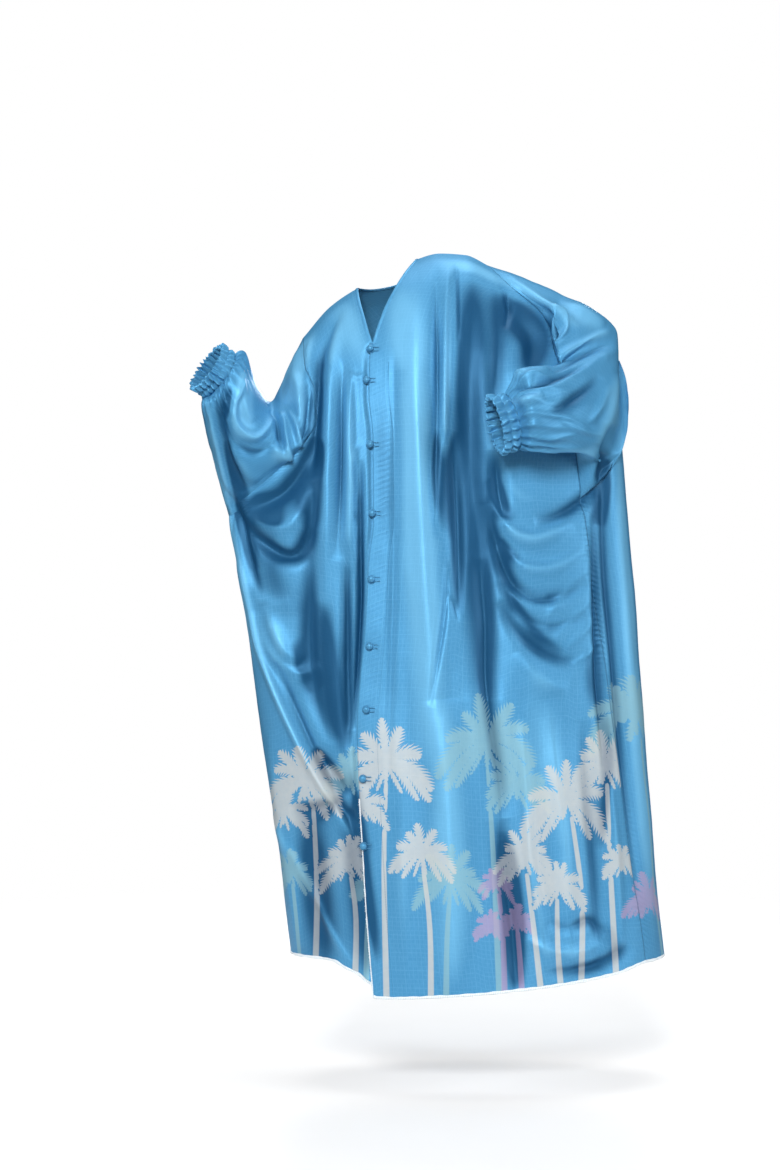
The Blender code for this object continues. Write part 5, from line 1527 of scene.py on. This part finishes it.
def make_edging(name, line, outward, inward, material, seed, width=EDGING_WIDTH):
    """Overlock thread looped round a raw edge, with short frays that hang out of it."""
    rng = np.random.default_rng(seed)
    run = run_length(line, 0)
    uneven = 1 + 0.14 * np.sin(run / 0.009) + 0.12 * np.sin(run / 0.0041 + 1)
    section = oval(width / 2, EDGING_THICKNESS / 2, EDGING_SIDES)
    middle = line + inward * (width / 2 - 0.0015)
    points = tube(middle, inward * uneven[:, None], outward, section).reshape(-1, 3)
    faces = rod_faces(len(line), EDGING_SIDES)
    fields = np.repeat(run, EDGING_SIDES)
    frays, fray_run, start = [], [], len(points)
    along = unit(np.gradient(line, axis=0))
    for spot in np.arange(0.002, run[-1] - 0.002, FRAYS_APART):
        spot = spot + rng.uniform(-0.002, 0.002)
        base = np.array([np.interp(spot, run, line[:, axis]) for axis in range(3)])
        at = int(np.clip(np.searchsorted(run, spot), 0, len(run) - 1))
        down = -inward[at] + along[at] * rng.uniform(-0.8, 0.8) + outward[at] * rng.uniform(-0.2, 0.4)
        tip = base + unit(down) * rng.uniform(0.0015, 0.0052)
        wide = along[at] * rng.uniform(0.0004, 0.0009)
        frays += [base - wide, base + wide, tip]
        fray_run += [spot] * 3
        faces.append([start + len(frays) - corner for corner in (3, 2, 1)])
    points = np.concatenate([points, np.array(frays)])
    return add_mesh(name, points, faces, material, {"run": np.concatenate([fields, fray_run])})


def edge_frame(edge, inner, flip=1.0):
    """Directions at a raw edge of a grid: out of the cloth, and into the panel from the edge."""
    along = unit(np.gradient(edge, axis=0))
    inward = inner - edge
    inward = unit(inward - (inward * along).sum(-1, keepdims=True) * along)
    return unit(np.cross(inward, along)) * flip, inward


def button_seat(drop, inside_edge):
    """Where a button sits on the cloth, and the outward direction there."""
    c, v = angle_at(glide(LAPPED_EDGE, "x", drop) + inside_edge, drop), drop / LENGTH
    return cloth(c, v, LEFT_FRONT_FOLDS), body_normal(c, v)


def make_button(number, drop, inside_edge, material):
    """A ball covered with gathered satin, sitting on the cloth."""
    seat, outward = button_seat(drop, inside_edge)
    across = unit(np.cross(outward, (0.0, 0.0, 1.0)))
    upward = np.cross(outward, across)
    centre = seat + outward * (BUTTON_HEIGHT / 2 + BUTTON_CLEAR)
    rings, sides = 18, 28
    lean = math.pi * np.arange(rings + 1) / rings
    turn = 2 * math.pi * np.arange(sides) / sides
    tuck = TUCK_DEPTH * np.cos(BUTTON_TUCKS * turn + number)
    tucks = 1 + tuck[None, :] * (np.cos(lean / 2) ** 4)[:, None]
    radius = BUTTON_RADIUS * np.sin(lean)[:, None] * tucks
    height = -BUTTON_HEIGHT / 2 * np.cos(lean)
    points = (
        centre + outward * height[:, None, None]
        + across * (radius * np.cos(turn))[..., None] + upward * (radius * np.sin(turn))[..., None]
    )
    return add_mesh(f"button_{number}", points, grid_faces(rings + 1, sides, True, True), material)


def make_loops(material):
    """The thin loop of each button, from the lapped edge round the foot of the button."""
    points, faces = [], []
    for drop, inside_edge in BUTTONS[1:]:
        seat, outward = button_seat(drop, inside_edge)
        across = unit(np.cross((0.0, 0.0, 1.0), outward))
        upward = np.cross(outward, across)
        spot = seat + outward * LOOP_LIFT
        angle = np.linspace(math.radians(-60), math.radians(240), 30) + math.radians(90)
        out = BUTTON_RADIUS + LOOP_RADIUS * 0.6
        line = spot + out * (np.cos(angle)[:, None] * across + np.sin(angle)[:, None] * upward)
        tail = np.linspace(LOOP_TAIL, 0.0, 5, endpoint=False)[:, None]
        line = np.concatenate([line[:1] + across * tail, line, line[-1:] + across * tail[::-1]])
        along = unit(np.gradient(line, axis=0))
        side = unit(np.cross(along, outward))
        ring = tube(line, side, np.cross(side, along), oval(LOOP_RADIUS, LOOP_RADIUS, LOOP_SIDES))
        start = len(points) * len(line) * LOOP_SIDES
        points.append(ring.reshape(-1, 3))
        faces += (grid_faces(len(line), LOOP_SIDES, True, False) + start).tolist()
    return add_mesh("button_loops", np.concatenate(points), faces, material)


SLEEVE_NODES = ("upper_front", "fore_front", "upper_under", "elbow_under", "fore_under",
                "upper_back", "elbow_back", "fore_back")


def make_edgings(left, right, back, thread):
    """The overlocked hems of the three panels, and the lower stretch of the lapped edge."""
    low = int(np.searchsorted(ROWS, LAP_EDGING_FROM))
    edgings = []
    for name, edge, inner, flip, seed, width in (
        ("hem_edging_left_front", left[-1], left[-3], 1, 1, EDGING_WIDTH),
        ("hem_edging_right_front", right[-1], right[-3], 1, 2, EDGING_WIDTH),
        ("hem_edging_back", back[-1], back[-3], 1, 3, EDGING_WIDTH),
        ("lap_edging", left[low:, 0], left[low:, 2], -1, 4, LAP_EDGING_WIDTH),
    ):
        outward, inward = edge_frame(edge, inner, flip)
        edgings.append(make_edging(name, edge, outward, inward, thread, seed, width))
    return edgings


def replaced_nodes(cloths):
    """The nodes of the CAD model that each piece of cloth stands for."""
    bands = ("chest", "waist", "hip", "skirt")
    nodes = {
        "front_left": [f"{band}_{part}" for band in bands for part in ("inner", "outer")],
        "front_right": bands,
        "back": [f"{band}_{part}" for band in bands for part in ("left", "middle", "right")],
        "sleeve_left": SLEEVE_NODES,
        "sleeve_right": SLEEVE_NODES,
    }
    return {cloths[name]: [f"{name}_{part}" for part in parts] for name, parts in nodes.items()}


def main():
    make_camera()
    make_lights()
    make_floor()
    bpy.context.scene.view_settings.view_transform = "Standard"

    satin = satin_material()
    trim = trim_material("gathered_satin", 180.0)
    bias = trim_material("bias_satin", 320.0, 1.1)
    button_satin = trim_material("button_satin", 420.0, 0.85)
    thread = edging_material()

    left, front_left = make_left_front(satin)
    right, front_right = make_right_front(satin)
    back, back_piece = make_back(satin)
    count_left = int(np.searchsorted(ROWS, UNDERARM_LEFT - 1e-9))
    count_right = int(np.searchsorted(ROWS, UNDERARM_RIGHT - 1e-9))
    loop_left = armhole_loop(left[:, -1], back[:, 0], count_left)
    loop_right = armhole_loop(right[:, 0], back[:, -1], count_right)
    cuff_left, cuff_right = (dict(zip(CUFFS[0], row)) for row in CUFFS[1:])
    cloths = {
        "front_left": front_left,
        "front_right": front_right,
        "back": back_piece,
        "sleeve_left": make_sleeve("sleeve_left", loop_left, RINGS_LEFT, cuff_left, 1,
                                   SLEEVE_FOLDS_LEFT, satin, 21),
        "sleeve_right": make_sleeve("sleeve_right", loop_right, RINGS_RIGHT, cuff_right, -1,
                                    SLEEVE_FOLDS_RIGHT, satin, 31),
        "cuff_left": make_cuff("cuff_left", cuff_left, 1, trim, 21),
        "cuff_right": make_cuff("cuff_right", cuff_right, -1, trim, 31),
    }
    binding = make_binding(bias)
    buttons = [make_button(number, *place, button_satin)
               for number, place in enumerate(BUTTONS[1:], start=1)]
    loops = make_loops(button_satin)
    edgings = make_edgings(left, right, back, thread)

    nodes = replaced_nodes(cloths)
    cuffs = (cloths["cuff_left"], cloths["cuff_right"])
    for piece in (*cuffs, binding, *buttons):
        nodes[piece] = [piece.name.split(".")[0]]
    for piece, names in nodes.items():
        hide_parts(*names)
    slots = {
        "cuff": cuffs,
        "binding": (binding,),
        "button": (*buttons, loops),
        "satin": (*list(cloths.values())[:5], *edgings),
    }
    for slot, pieces in slots.items():
        for piece in pieces:
            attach(piece, "root")


main()
